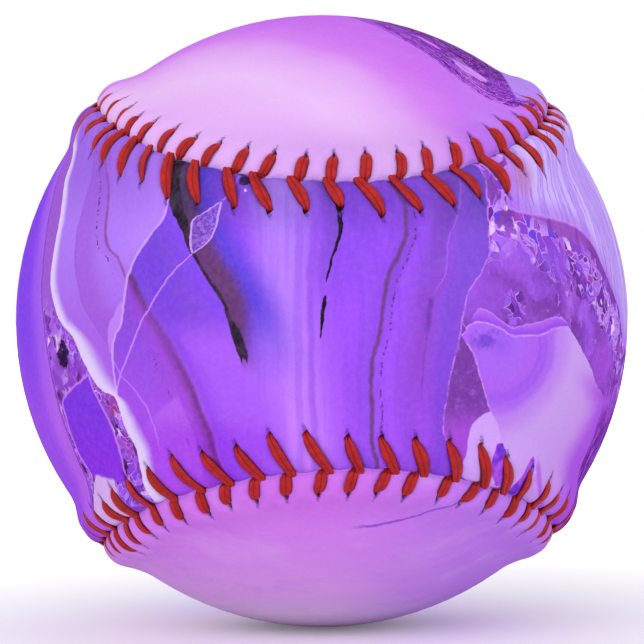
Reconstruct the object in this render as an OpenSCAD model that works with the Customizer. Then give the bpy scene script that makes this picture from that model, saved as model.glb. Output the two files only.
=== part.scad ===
// Softball: two stitched cover panels over a coated, yarn-wound cork core.
// The origin is the ball's centre, +Z is up and the front panel's waist faces -Y.

/* [Ball] */
// Diameter over the smooth cover, away from the raised seam
ball_d = 97; // [88:0.5:110]
// Thickness of the cover material
cover_t = 1.5; // [1.3:0.1:2]

/* [Core] */
// Thickness of the yarn winding over the cork and rubber core
winding_t = 8.25; // [4:0.25:20]
// Thickness of the rubber cement coat over the winding
coat_t = 0.4; // [0.2:0.1:0.8]
// Room between the coat and the cover, where the cover's own cement sits
cover_gap = 0.35; // [0.3:0.05:0.6]

/* [Seam] */
// Half width of a panel's waist, as an angle seen from the ball's centre
waist_half_angle = 25; // [23:0.5:29]
// How far the seam swings out round a panel's lobes, as a share of its main swing
swing_share = 0.44; // [0.4:0.01:0.47]
// Height of the raised seam above the smooth cover
ridge_h = 1.5; // [1.2:0.05:2]
// Width of one side of the raised seam, from the seam line to the smooth cover
ridge_w = 9.5; // [8.5:0.5:11]
// Distance from the seam line to the top of the raised seam
crest_d = 2.6; // [2.2:0.1:3]
// Height of the panels' edges above the smooth cover, at the bottom of the seam's groove
edge_h = 0.7; // [0.5:0.05:0.9]
// Gap between the two panels' edges
seam_gap = 0.2; // [0.1:0.05:0.4]

/* [Stitches] */
// Number of stitches round the whole seam, a multiple of four
stitch_count = 104; // [88:4:112]
// Width of the doubled thread where it lies flat on the cover
thread_w = 1.8; // [1.4:0.1:2]
// Thickness of the doubled thread, and its width where it is drawn together
thread_t = 0.8; // [0.6:0.05:0.85]
// Clearance between the thread and whatever it passes
thread_gap = 0.1; // [0.08:0.01:0.12]
// Distance from the seam line to the front panel's needle holes
front_hole_d = 4.9; // [4.4:0.1:5.6]
// Distance from the seam line to the back panel's needle holes
back_hole_d = 3.9; // [3.6:0.1:4.6]
// How far the front panel's needle holes lie ahead along the seam
front_lean = 1.1; // [0:0.1:1.6]
// How far the back panel's needle holes lie ahead along the seam
back_lean = 0.3; // [0:0.1:1]

/* [Hidden] */
$fn = 96;

ball_r = ball_d / 2;
coat_r = ball_r - cover_t - cover_gap;
winding_r = coat_r - coat_t;
core_r = winding_r - winding_t;

// Side of the seam line that each panel lies on
FRONT = -1;
BACK = 1;

// Seam line on a ball of radius 1, run once as the angle goes from 0 to 360.
// It repeats, turned and mirrored, every quarter, so both panels are alike.
depth_share = (1 - swing_share) / tan(waist_half_angle);
function unit(v) = v / norm(v);
function seam_dir(angle) = unit([
    cos(angle) - swing_share * cos(3 * angle),
    depth_share * cos(2 * angle),
    -sin(angle) - swing_share * sin(3 * angle)
]);

// Way run along the seam line at even steps of its angle, for even stitches
seam_steps = 720;
step_angle = 360 / seam_steps;
function step_run(i) = norm(seam_dir((i + 1) * step_angle) - seam_dir(i * step_angle));
seam_table = [
    for (i = 0, run = 0; i <= seam_steps; run = run + step_run(i), i = i + 1)
        [run, i * step_angle]
];
seam_run = seam_table[seam_steps][0];
pitch = seam_run * ball_r / stitch_count;

// Seam angle at a place counted in stitches, which may pass the last stitch
function laps(n) = n / stitch_count - floor(n / stitch_count);
function seam_angle(n) = lookup(laps(n) * seam_run, seam_table);
function seam_tangent(n) =
    let (angle = seam_angle(n))
    unit(seam_dir(angle + step_angle) - seam_dir(angle - step_angle));

// Point n stitches along the seam, d away from its line and r from the centre.
// A distance below zero is on the front panel's side.
function place(n, d, r) =
    let (out = seam_dir(seam_angle(n)), across = cross(out, seam_tangent(n)))
    let (turn = d / ball_r * 180 / PI)
    r * (out * cos(turn) + across * sin(turn));

// Height of the cover's outer face at distance d from the seam line
function ridge(d) =
    d < crest_d ? ridge_h - (ridge_h - edge_h) * pow(1 - d / crest_d, 2)
    : d < ridge_w ? ridge_h * pow(cos(90 * (d - crest_d) / (ridge_w - crest_d)), 2)
    : 0;

function hole_d(side) = side == FRONT ? front_hole_d : back_hole_d;
function lean(side) = side == FRONT ? front_lean : back_lean;

// Needle slit that the thread passes up through
slit_half_w = (thread_w + thread_t) / 4 + thread_gap;
slit_half_t = thread_t / 2 + thread_gap;

// Where both threads dive between the panels, side by side
foot_shift = (thread_t + thread_gap) / 2;
foot_d = thread_t / 2;
notch_half_w = thread_t + 2 * thread_gap;
notch_d = foot_d + slit_half_t;
notch_flare = notch_half_w / 3;

// Shares of the crest's and the ridge's widths at which the panel has a row of points
lip_share = 0.55;
shoulder_share = 0.5;
lip_d = notch_d + lip_share * (crest_d - notch_d);
function shoulder_d(side) =
    let (past_slit = hole_d(side) + slit_half_t)
    past_slit + shoulder_share * (ridge_w - past_slit);

// The panel's rows are sheared by the holes' lean, which is back to none at the ridge's foot
function lean_at(side, d) =
    lean(side) * min(d / hole_d(side), (ridge_w - d) / (ridge_w - hole_d(side)));

// Places along the seam, in stitches, of a row's points: every stitch has the given shifts
function row_places(shifts) = [
    for (i = [0:stitch_count - 1]) for (shift = shifts) i + shift / pitch
];

// Points of a row, lifted from the outer face by lift
function row(side, places, d, lift) = [
    for (n = places)
        place(n + lean_at(side, d) / pitch, side * d, ball_r + ridge(d) + lift)
];

// Points of a panel's edge, which steps back in a notch at every stitch
edge_shifts = [-notch_half_w - notch_flare, -notch_half_w, notch_half_w, notch_half_w + notch_flare];
edge_ds = [seam_gap / 2, notch_d, notch_d, seam_gap / 2];
edge_places = row_places(edge_shifts);
function edge_row(side, lift) = [
    for (i = [0:len(edge_places) - 1])
        place(edge_places[i], side * edge_ds[i % 4], ball_r + edge_h + lift)
];
slit_places = row_places([-slit_half_w, slit_half_w]);
stitch_places = row_places([0]);

// Triangles of the strip between two closed rows, which start at points a and b
function next_place(places, i) =
    i < len(places) - 1 ? places[i + 1]
    : i == len(places) - 1 ? places[0] + stitch_count
    : 2 * stitch_count;
function strip(a, a_places, b, b_places) =
    let (a_len = len(a_places), b_len = len(b_places))
    [
        for (
            i = 0, j = 0;
            i + j < a_len + b_len;
            on_a = next_place(a_places, i) <= next_place(b_places, j),
            i = i + (on_a ? 1 : 0),
            j = j + (on_a ? 0 : 1)
        )
            next_place(a_places, i) <= next_place(b_places, j)
                ? [a + i % a_len, a + (i + 1) % a_len, b + j % b_len]
                : [a + i % a_len, b + (j + 1) % b_len, b + j % b_len]
    ];

function quad(a, b, c, d) = [[a, b, c], [a, c, d]];
function flip(faces) = [for (face = faces) [face[2], face[1], face[0]]];

// Strip between the rows on both sides of the needle slits, open at each slit
function slit_strip(a, b) = [
    for (i = [0:stitch_count - 1])
        let (near = 2 * i + 1, far = (2 * i + 2) % (2 * stitch_count))
        each quad(a + near, a + far, b + far, b + near)
];

// Walls of the needle slits, from the outer rows a and b to the inner rows c and d
function slit_walls(a, b, c, d) = [
    for (i = [0:stitch_count - 1])
        let (outer = [a + 2 * i, a + 2 * i + 1, b + 2 * i + 1, b + 2 * i])
        let (inner = [c + 2 * i, c + 2 * i + 1, d + 2 * i + 1, d + 2 * i])
        for (k = [0:3])
            let (m = (k + 1) % 4)
            each quad(outer[k], outer[m], inner[m], inner[k])
];

// The middle of a panel is spanned by ribs across it, between mirrored points of its last row.
// tip is the point of that row at one end of the panel.
rib_count = stitch_count / 2 - 1;
rib_steps = 6;
function tip(side) = side == FRONT ? 0 : stitch_count / 4;
function rib_end(side, rib, way) = (tip(side) + way * rib + stitch_count) % stitch_count;
function on_arc(p, q, share) =
    let (swing = acos(p * q))
    (p * sin((1 - share) * swing) + q * sin(share * swing)) / sin(swing);
function rib_points(side, last_row, r) = [
    for (rib = [1:rib_count])
        let (p = unit(last_row[rib_end(side, rib, 1)]), q = unit(last_row[rib_end(side, rib, -1)]))
        for (k = [1:rib_steps - 1]) r * on_arc(p, q, k / rib_steps)
];
function rib_point(side, last, ribs, rib, k) =
    k == 0 ? last + rib_end(side, rib, 1)
    : k == rib_steps ? last + rib_end(side, rib, -1)
    : ribs + (rib - 1) * (rib_steps - 1) + k - 1;
function rib_faces(side, last, ribs) = [
    for (k = [0:rib_steps - 1])
        [
            last + tip(side),
            rib_point(side, last, ribs, 1, k),
            rib_point(side, last, ribs, 1, k + 1)
        ],
    for (rib = [1:rib_count - 1]) for (k = [0:rib_steps - 1])
        each quad(
            rib_point(side, last, ribs, rib, k),
            rib_point(side, last, ribs, rib + 1, k),
            rib_point(side, last, ribs, rib + 1, k + 1),
            rib_point(side, last, ribs, rib, k + 1)
        ),
    for (k = [0:rib_steps - 1])
        [
            last + (tip(side) + stitch_count / 2) % stitch_count,
            rib_point(side, last, ribs, rib_count, k + 1),
            rib_point(side, last, ribs, rib_count, k)
        ]
];

// Index of the first point of each list, when the lists are joined in order
function starts(lists) = [
    for (i = 0, at = 0; i < len(lists); at = at + len(lists[i]), i = i + 1) at
];

// One cover panel: outer rows from its edge to its middle, then the same way inside
module cover_panel(side) {
    near_slit = hole_d(side) - slit_half_t;
    far_slit = hole_d(side) + slit_half_t;
    outer_last = row(side, stitch_places, ridge_w, 0);
    inner_last = row(side, stitch_places, ridge_w, -cover_t);
    lists = [
        edge_row(side, 0),
        row(side, slit_places, lip_d, 0),
        row(side, slit_places, crest_d, 0),
        row(side, slit_places, near_slit, 0),
        row(side, slit_places, far_slit, 0),
        row(side, stitch_places, shoulder_d(side), 0),
        outer_last,
        rib_points(side, outer_last, ball_r),
        edge_row(side, -cover_t),
        row(side, slit_places, near_slit, -cover_t),
        row(side, slit_places, far_slit, -cover_t),
        inner_last,
        rib_points(side, inner_last, ball_r - cover_t)
    ];
    at = starts(lists);
    faces = concat(
        strip(at[0], edge_places, at[1], slit_places),
        strip(at[1], slit_places, at[2], slit_places),
        strip(at[2], slit_places, at[3], slit_places),
        slit_strip(at[3], at[4]),
        strip(at[4], slit_places, at[5], stitch_places),
        strip(at[5], stitch_places, at[6], stitch_places),
        rib_faces(side, at[6], at[7]),
        flip(strip(at[8], edge_places, at[9], slit_places)),
        flip(slit_strip(at[9], at[10])),
        flip(strip(at[10], slit_places, at[11], stitch_places)),
        flip(rib_faces(side, at[11], at[12])),
        flip(strip(at[0], edge_places, at[8], edge_places)),
        slit_walls(at[3], at[4], at[9], at[10])
    );
    polyhedron([for (list = lists) each list], side == BACK ? flip(faces) : faces, convexity = 6);
}

// Route of one thread. At each stitch it comes up through the slit of one panel, crosses
// the raised seam to the gap, dives under the other panel and goes on to that panel's next slit.
// Every point of the route has its half width and half thickness with it.
lie = thread_t / 2 + thread_gap;
function route_side(needle, i) = (i + needle) % 2 == 0 ? FRONT : BACK;
function leg_shift(side, d) =
    let (foot = side * foot_shift)
    foot + (lean(side) - foot) * (d - foot_d) / (hole_d(side) - foot_d);
function leg_point(side, i, d, r) = place(i + leg_shift(side, d) / pitch, side * d, r);
function leg(side, i) = [
    [
        leg_point(side, i, hole_d(side), ball_r + ridge(hole_d(side)) - cover_t - lie),
        [thread_t / 2, thread_t / 2]
    ],
    [
        leg_point(side, i, hole_d(side), ball_r + ridge(hole_d(side) - slit_half_t) + lie),
        [slit_half_w - thread_gap, thread_t / 2]
    ],
    [
        leg_point(side, i, crest_d, ball_r + ridge_h + lie),
        [thread_w / 2, thread_t / 2]
    ],
    [
        leg_point(side, i, foot_d, ball_r + ridge(lip_d) + lie),
        [thread_t / 2, thread_t / 2]
    ],
    [
        place(i + side * foot_shift / pitch, -side * foot_d, ball_r + edge_h - cover_t - lie),
        [thread_t / 2, thread_t / 2]
    ]
];

// The thread's section is a flat hexagon, set square to the halved bend at each point
thread_sides = 6;
function section(before, at, after, halves, along) =
    let (way_in = unit(at - before), way_out = unit(after - at), way = unit(way_in + way_out))
    let (wide = unit(along - (along * way) * way), thick = cross(way, wide))
    let (bend = way_out - way_in, sharp = norm(bend) / 2)
    let (bend_dir = bend / max(norm(bend), sharp + 1 / seam_steps))
    let (stretch = 1 / sqrt(1 - sharp * sharp) - 1)
    [
        for (k = [0:thread_sides - 1])
            let (turn = 360 * k / thread_sides)
            let (v = wide * halves[0] * cos(turn)
                + thick * halves[1] * sin(turn) / cos(180 / thread_sides))
            at + v + bend_dir * (v * bend_dir) * stretch
    ];

module needle_thread(needle) {
    route = [for (i = [0:stitch_count - 1]) each leg(route_side(needle, i), i)];
    count = len(route);
    per_stitch = count / stitch_count;
    rings = [
        for (i = [0:count - 1])
            section(
                route[(i + count - 1) % count][0],
                route[i][0],
                route[(i + 1) % count][0],
                route[i][1],
                seam_tangent(floor(i / per_stitch))
            )
    ];
    faces = [
        for (i = [0:count - 1]) for (k = [0:thread_sides - 1])
            let (a = i * thread_sides, b = (i + 1) % count * thread_sides)
            let (m = (k + 1) % thread_sides)
            each quad(a + k, b + k, b + m, a + m)
    ];
    polyhedron([for (ring = rings) each ring], faces, convexity = 10);
}

module core() {
    color("peru") sphere(core_r);
}

module yarn_winding() {
    color("ivory") difference() {
        sphere(winding_r);
        sphere(core_r);
    }
}

module latex_coat() {
    color("wheat") difference() {
        sphere(coat_r);
        sphere(winding_r);
    }
}

module front_cover_panel() {
    color("mediumpurple") cover_panel(FRONT);
}

module back_cover_panel() {
    color("plum") cover_panel(BACK);
}

module first_needle_thread() {
    color("firebrick") needle_thread(0);
}

module second_needle_thread() {
    color("brown") needle_thread(1);
}

core();
yarn_winding();
latex_coat();
front_cover_panel();
back_cover_panel();
first_needle_thread();
second_needle_thread();
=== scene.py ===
"""Softball: two stitched leather panels with a printed agate pattern, over a coated, wound core.

Everything is worked out in millimetres round the ball's centre and written to the meshes in metres.
"""
import math

import bpy
import numpy as np
from mathutils import Matrix, Vector


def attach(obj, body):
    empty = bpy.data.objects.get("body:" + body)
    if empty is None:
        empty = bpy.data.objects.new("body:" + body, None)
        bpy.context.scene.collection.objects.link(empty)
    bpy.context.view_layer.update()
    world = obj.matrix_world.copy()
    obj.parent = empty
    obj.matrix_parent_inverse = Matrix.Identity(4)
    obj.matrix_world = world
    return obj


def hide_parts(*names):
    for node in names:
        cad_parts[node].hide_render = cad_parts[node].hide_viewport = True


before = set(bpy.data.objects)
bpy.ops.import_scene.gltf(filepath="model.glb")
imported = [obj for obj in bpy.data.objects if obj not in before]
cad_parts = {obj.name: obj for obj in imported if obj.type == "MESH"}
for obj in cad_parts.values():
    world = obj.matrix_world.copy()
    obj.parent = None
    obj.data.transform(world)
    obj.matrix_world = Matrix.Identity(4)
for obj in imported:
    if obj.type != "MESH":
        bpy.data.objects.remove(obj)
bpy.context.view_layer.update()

MM = 0.001
SEED = 2024
RNG = np.random.default_rng(SEED)

# Sizes in mm and degrees, as in the CAD source
BALL_R = 48.5
COVER_T = 1.5
WAIST_HALF_ANGLE = 25
SWING_SHARE = 0.44
RIDGE_H, RIDGE_W, CREST_D, EDGE_H = 1.5, 9.5, 2.6, 0.7
STITCHES = 104
FRONT, BACK = -1, 1
HOLE_D = {FRONT: 4.9, BACK: 3.9}
LEAN = {FRONT: 1.1, BACK: 0.3}

# Camera, from the photograph
CAM_FROM = np.array([-0.0719, -0.9973, 0.0162])
CAM_RIGHT = np.array([0.9973, -0.0721, -0.0131])
CAM_UP = np.array([0.0144, 0.0152, 0.9998])
CAM_R = 10 * BALL_R
FOCAL_PX = 3044.7
BALL_PX, BALL_PY = 321.8, 321.0
FRAME_PX = 644
SENSOR = 36
# Height over the plain cover at which the stitches are seen, in mm
SEEN_H = 1

# Stitches in sight, in pixels of the photograph: the back panel's end and foot, then the front
# panel's foot and end. The top seam's go up from its first one, and the bottom seam's go down.
TOP_FIRST, BOTTOM_FIRST = 68, 36
TOP_STITCHES = [
    ((124, 100), (105, 121), (102, 120), (84, 138)), ((131, 108), (114, 129), (111, 127), (90, 153)),
    ((140, 117), (123, 136), (121, 133), (99.5, 164)), ((155, 122), (135, 143), (132, 142), (117, 176)),
    ((176, 128), (157, 151), (149, 148), (139.5, 182)), ((196, 138), (176, 160), (169, 157), (164, 198)),
    ((220, 143), (201, 168), (194, 164), (195, 204)), ((247, 148), (233, 173), (226, 171), (233, 208)),
    ((274, 153.5), (260, 177), (253, 174), (269, 212)), ((306, 156), (299, 180), (291, 178), (306, 211.5)),
    ((334, 155.5), (331, 181), (327, 179), (341, 207)), ((366, 152.5), (365, 181), (358, 180), (383, 216)),
    ((398, 152), (401, 178), (393, 179), (422, 211.5)), ((424, 147), (431, 174), (426, 174), (456, 206)),
    ((451, 143), (459, 168), (454, 169), (482, 198)), ((471, 138), (483, 160), (485, 161), (511, 193)),
    ((488, 129), (505, 151), (507, 152), (523, 171)), ((500, 120), (519, 140), (522, 143), (545, 171)),
    ((516, 117), (534, 132), (537, 134), (559, 158)), ((521, 105), (541, 123), (542, 127), (565.5, 147)),
    ((522, 96), (543, 115), (545, 118), (565.5, 134)),
]
BOTTOM_STITCHES = [
    ((138, 552), (117, 533), (115, 530), (91, 507)), ((143, 545), (124, 523), (126, 520), (101, 499)),
    ((153, 534), (135, 517), (134, 514), (109, 488)), ((164, 525), (152, 509), (152, 508), (123, 478)),
    ((184, 519), (171, 499), (173, 497), (145, 468)), ((209, 513), (197, 490), (200, 488), (168, 456)),
    ((229, 503), (225, 483), (229, 481), (200, 452)), ((256, 500), (254, 478), (260, 474.5), (235, 446)),
    ((286, 496), (285, 473), (291, 471), (268, 434)), ((318, 493.5), (322, 471), (329, 469), (305, 432)),
    ((348, 493), (355, 472), (360, 470), (348, 436)), ((376, 492.5), (388, 472), (396, 470), (382, 436)),
    ((404, 496), (416, 474), (425, 473), (416, 438)), ((438, 497), (450, 478), (457, 478), (451, 440)),
    ((460, 501.5), (478, 484), (486, 483), (483, 444)), ((484, 508.5), (500, 487), (505, 491), (508, 456)),
    ((502, 517), (518, 497), (520, 497), (532, 469)), ((516, 522), (531, 505), (535, 505), (551, 478)),
    ((524, 530), (540, 512), (542, 512), (560, 490)), ((534, 537), (549, 519), (551, 517), (569, 493)),
]


# The seam line
def unit(v):
    return v / np.linalg.norm(v, axis=-1, keepdims=True)


DEPTH_SHARE = (1 - SWING_SHARE) / math.tan(math.radians(WAIST_HALF_ANGLE))


def seam_dir(a):
    return unit(np.stack([
        np.cos(a) - SWING_SHARE * np.cos(3 * a),
        DEPTH_SHARE * np.cos(2 * a),
        -np.sin(a) - SWING_SHARE * np.sin(3 * a),
    ], -1))


SEAM_SAMPLES, TANGENT_STEP = 14401, 1e-3
ANGLES = np.linspace(0, 2 * math.pi, SEAM_SAMPLES)
RUNS = np.concatenate([[0], np.cumsum(np.linalg.norm(np.diff(seam_dir(ANGLES), axis=0), axis=1))])
PITCH = RUNS[-1] * BALL_R / STITCHES
long_phase, short_phase, _ = RNG.uniform(0, 2 * math.pi, 3)


def frame_at(n):
    """Outward direction, way across towards the back panel, and tangent, n stitches along."""
    a = np.interp(np.mod(n, STITCHES) / STITCHES * RUNS[-1], RUNS, ANGLES)
    out = seam_dir(a)
    tangent = unit(seam_dir(a + TANGENT_STEP) - seam_dir(a - TANGENT_STEP))
    return out, np.cross(out, tangent), tangent


def place(n, d, r):
    """Point n stitches along the seam, d mm across it and r mm from the ball's centre. The back panel's
    side of the seam is positive."""
    n, d, r = np.broadcast_arrays(*(np.asarray(v, float) for v in (n, d, r)))
    out, across, _ = frame_at(n)
    turn = (d / BALL_R)[..., None]
    return r[..., None] * (out * np.cos(turn) + across * np.sin(turn))


def on_seam(p):
    """Stitch count along the seam and distance across it of a direction p, for a point near the seam."""
    near = int(np.argmax(seam_dir(ANGLES) @ p))
    n = RUNS[near] / RUNS[-1] * STITCHES
    out, across, _ = frame_at(np.array(n))
    return n, math.asin(float(np.clip(across @ p, -1, 1))) * BALL_R


def from_pixel(px, py):
    """Direction from the centre of the ball's point that the photograph shows at a pixel."""
    way = -CAM_FROM * FOCAL_PX + CAM_RIGHT * (px - BALL_PX) - CAM_UP * (py - BALL_PY)
    way /= np.linalg.norm(way)
    eye = CAM_FROM * CAM_R
    r = BALL_R + SEEN_H
    b = eye @ way
    return unit(eye + way * (-b - math.sqrt(b * b - eye @ eye + r * r)))


# Stitches
# Each stitch's holes and feet are in mm from its own place on the seam, with a hand sewer's scatter.
REACH = {FRONT: 5.3, BACK: 3.5}
REACH_SPREAD, REACH_SPREAD_MOST = 0.3, 0.5
LEAN_SPREAD, LEAN_SPREAD_MOST = 0.3, 0.6
FOOT_SHIFT, FOOT_SPREAD = {FRONT: -1.3, BACK: -0.4}, 0.12
BOW_MOST, ROLL_MOST, THICKNESS_SPREAD = 0.22, 0.35, 0.08
HOLE_BEFORE_END = {FRONT: 0.62, BACK: 0.3}
REACH_RANGE = {FRONT: (3.6, 5.9), BACK: (3.0, 4.6)}


def bell(spread, most):
    return np.clip(RNG.normal(0, spread, STITCHES), -most, most)


def even(most):
    return RNG.uniform(-most, most, STITCHES)


def by_side(draw):
    return {side: draw(side) for side in (FRONT, BACK)}


hole_d = by_side(lambda side: REACH[side] + bell(REACH_SPREAD, REACH_SPREAD_MOST))
hole_s = by_side(lambda side: LEAN[side] + bell(LEAN_SPREAD, LEAN_SPREAD_MOST))
foot_s = by_side(lambda side: FOOT_SHIFT[side] + even(FOOT_SPREAD))
bow = by_side(lambda side: even(BOW_MOST))
roll = by_side(lambda side: even(ROLL_MOST))
thick = by_side(lambda side: 1 + even(THICKNESS_SPREAD))
seen = {}
for first, way, rows in ((TOP_FIRST, 1, TOP_STITCHES), (BOTTOM_FIRST, -1, BOTTOM_STITCHES)):
    for k, row in enumerate(rows):
        i = first + way * k
        spots = [on_seam(from_pixel(*pixel)) for pixel in row]
        along = [(n - i) * PITCH for n, _ in spots]
        shift = (along[0] - LEAN[BACK] + along[3] - LEAN[FRONT]) / 2
        seen[i] = shift
        foot_s[BACK][i], foot_s[FRONT][i] = along[1] - shift, along[2] - shift
        hole_s[BACK][i], hole_s[FRONT][i] = along[0] - shift, along[3] - shift
        hole_d[BACK][i] = np.clip(spots[0][1] - HOLE_BEFORE_END[BACK], *REACH_RANGE[BACK])
        hole_d[FRONT][i] = np.clip(-spots[3][1] - HOLE_BEFORE_END[FRONT], *REACH_RANGE[FRONT])
known = sorted(seen)


def shift_at(n):
    """How far the stitches near n sit from an even spacing, in mm."""
    return np.interp(n, known, [seen[i] for i in known], period=STITCHES)


def base(i):
    """Stitch i's own place, in stitches along the seam."""
    return i + shift_at(i) / PITCH


# The leather's surface, in mm
PRESS, PRESS_AT_FOOT_SHARE = 0.42, 0.7
PUFF, PUFF_RISE, PUFF_START, PUFF_END = 0.44, (0.7, 2.2), (-0.35, 0.95), (-0.5, 2.8)
EDGE_FOLD, EDGE_FOLD_W = 0.15, 0.5
INNER_EDGE_FOLD = 0.12
INNER_PIT_HALF_W, INNER_PIT_HALF_L, INNER_PIT_PAST = 0.9, 1.1, 0.35
THREAD_BED, FOOT_BED_SHARE, END_BED_SHARE = 1.15, 0.72, 0.5
PIT_DEPTH, PIT_PAST, PIT_HALF_W, PIT_IN, PIT_OUT = 0.26, 0.8, 0.52, 0.9, 1.4
GROOVE_W = 0.34
# Shares of a leg's way, from foot to hole, between which its bed and its press change
BED_WIDENS, BED_NARROWS, PRESS_DEEPENS = (0, 0.3), (0.7, 1), (0.6, 1)
PIT_LEAN_SHARE = 0.5
# Waves of the seam line: height in mm and number round the seam, then the height and phase of the
# wave at each stitch, and last how far across the seam the waves reach, in mm
LONG_WAVE, SHORT_WAVE, STITCH_WAVE, STITCH_WAVE_PHASE, WAVES_REACH = (0.1, 13), (0.07, 31), 0.09, 0.6, 3


def smooth(x, lo, hi):
    t = np.clip((x - lo) / (hi - lo), 0, 1)
    return t * t * (3 - 2 * t)


def ridge(d):
    """Height of the raised seam over the plain cover."""
    d = np.abs(d)
    rise = RIDGE_H - (RIDGE_H - EDGE_H) * np.clip(1 - d / CREST_D, 0, 1) ** 2
    fall = RIDGE_H * np.cos(np.pi / 2 * np.clip((d - CREST_D) / (RIDGE_W - CREST_D), 0, 1)) ** 2
    return np.where(d < CREST_D, rise, fall)


def leg_distance(side, i, s, d):
    """Distance from the leg's line and share of the way along it, from foot to hole."""
    fs, hs, hd = foot_s[side][i], hole_s[side][i], hole_d[side][i]
    ls = hs - fs
    t = np.clip(((s - fs) * ls + d * hd) / (ls * ls + hd * hd), 0, 1)
    side_bow = bow[side][i] * np.sin(np.pi * t)
    return np.hypot(s - fs - t * ls - side_bow, d - t * hd), t


def surface(side, i, s, d):
    """Height of the outer face, how near the thread is and how near the needle hole's outer end is."""
    q, t = leg_distance(side, i, s, d)
    bed = THREAD_BED * (FOOT_BED_SHARE + (1 - FOOT_BED_SHARE) * smooth(t, *BED_WIDENS))
    near = np.exp(-((q / (bed * (1 - (1 - END_BED_SHARE) * smooth(t, *BED_NARROWS)))) ** 4))
    hs, hd = hole_s[side][i], hole_d[side][i]
    past = d - hd - PIT_PAST
    drift = s - hs - PIT_LEAN_SHARE * past * (hs - foot_s[side][i]) / hd
    pit = np.exp(-((drift / PIT_HALF_W) ** 2 + (past / np.where(past > 0, PIT_OUT, PIT_IN)) ** 2))
    deep = PRESS_AT_FOOT_SHARE + (1 - PRESS_AT_FOOT_SHARE) * smooth(t, *PRESS_DEEPENS)
    press = PRESS * near * deep
    fold = EDGE_FOLD * np.clip(1 - d / EDGE_FOLD_W, 0, 1) ** 2
    puff = PUFF * smooth(q, *PUFF_RISE) * smooth(d, *PUFF_START)
    puff = puff * (1 - smooth(d, hd + PUFF_END[0], hd + PUFF_END[1]))
    return ridge(d) - press - fold - PIT_DEPTH * pit + puff, near, pit


def seam_wiggle(n):
    """Small wander of the seam line, in mm, which both panels' edges share."""
    a = 2 * math.pi * n / STITCHES
    long_wave = LONG_WAVE[0] * np.sin(LONG_WAVE[1] * a + long_phase)
    short_wave = SHORT_WAVE[0] * np.sin(SHORT_WAVE[1] * a + short_phase)
    return long_wave + short_wave + STITCH_WAVE * np.sin(2 * math.pi * n + STITCH_WAVE_PHASE)


# Mesh helpers
def add_object(name, data):
    obj = bpy.data.objects.new(name, data)
    bpy.context.collection.objects.link(obj)
    return obj


def make_object(name, points, faces, marks, uvs=None, sharp=None):
    mesh = bpy.data.meshes.new(name)
    faces = [f for block in faces for f in block]
    mesh.from_pydata((np.asarray(points) * MM).tolist(), [], faces)
    mesh.validate()
    mesh.polygons.foreach_set("use_smooth", np.ones(len(mesh.polygons), bool))
    layer = mesh.color_attributes.new("marks", "FLOAT_COLOR", "POINT")
    layer.data.foreach_set("color", np.asarray(marks, np.float32).ravel())
    if uvs is not None:
        layer = mesh.uv_layers.new(name="strand")
        layer.data.foreach_set("uv", np.asarray(uvs, np.float32).ravel())
    if sharp is not None:
        mesh.set_sharp_from_angle(angle=math.radians(sharp))
    mesh.update()
    return add_object(name, mesh)


def grid_faces(a, b, count, flip, skip=None):
    """Quads between two closed rows of count points that start at a and b."""
    k = np.arange(count)
    m = (k + 1) % count
    quads = np.stack([a + k, a + m, b + m, b + k], 1)
    if skip is not None:
        quads = quads[~skip]
    return (quads[:, ::-1] if flip else quads).tolist()


# Cover panels
# Their grid has columns in stitches along the seam and rows in mm across it. It is left open at the
# needle holes, and ribs close it over the panel's middle.
COLS = np.array([-0.5, -0.385, -0.29, -0.215, -0.155, -0.105, -0.0525, 0,
                 0.0525, 0.105, 0.155, 0.215, 0.29, 0.385])
HOLE_HALF_W, HOLE_HALF_L = 0.105, 0.66
HOLE_COLS = [i for i, c in enumerate(COLS) if abs(c) <= HOLE_HALF_W]
HOLE_ROWS = 6
HOLE_TAPER, HOLE_TAPER_SPAN, HOLE_ROUNDING = 0.72, (-0.3, 1.2), 2.6
HOLE_PAST = 0.25
PER = len(COLS)
TOTAL = PER * STITCHES
EDGE_D, LAST_D = 0.04, 10.4
EDGE_ROWS = [EDGE_D, 0.09, 0.17, 0.3, 0.48, 0.72, 1.0, 1.35]
ROWS_BEFORE_HOLE, ROWS_AFTER_HOLE = np.array([0.45, 0.2]), np.array([0.2, 0.5, 0.95, 1.5, 2.2])
ROW_STEP, TAIL_ROWS = 0.42, 3
INNER_EDGE_ROWS = [EDGE_D, 2.2]
FLATTEN_D, FLAT_D = 1.2, 0.1
RIB_STEPS, INNER_RIB_STEPS = 20, 6
SHARP_ANGLE = 55


def warp(side, i, u, v):
    """Place (s, d) in mm from stitch i's own place of grid point (u stitches, v mm), so that the
    grid's holes become rounded needle holes at the stitch's own reach and lean."""
    hd = HOLE_D[side]
    centre = hd + HOLE_PAST
    x, y = u / HOLE_HALF_W, (v - centre) / HOLE_HALF_L
    square, circular = np.maximum(np.abs(x), np.abs(y)), np.hypot(x, y)
    share = np.where(square >= 1, square / np.maximum(circular, 1e-9), 1)
    blend = 1 - smooth(square, 1, HOLE_ROUNDING)
    x, y = x * (1 + (share - 1) * blend), y * (1 + (share - 1) * blend)
    tip = 1 - HOLE_TAPER * smooth(y, *HOLE_TAPER_SPAN) * blend
    s, d = x * tip * HOLE_HALF_W * PITCH, centre + y * HOLE_HALF_L
    across = np.cos(np.clip(u, -0.5, 0.5) * np.pi) ** 2
    along = np.clip(np.minimum(v / hd, (LAST_D - v) / (LAST_D - hd)), 0, 1)
    lean = LEAN[side] + (hole_s[side][i] - LEAN[side]) * across
    return s + lean * along, d + (hole_d[side][i] - hd) * across * along


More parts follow.
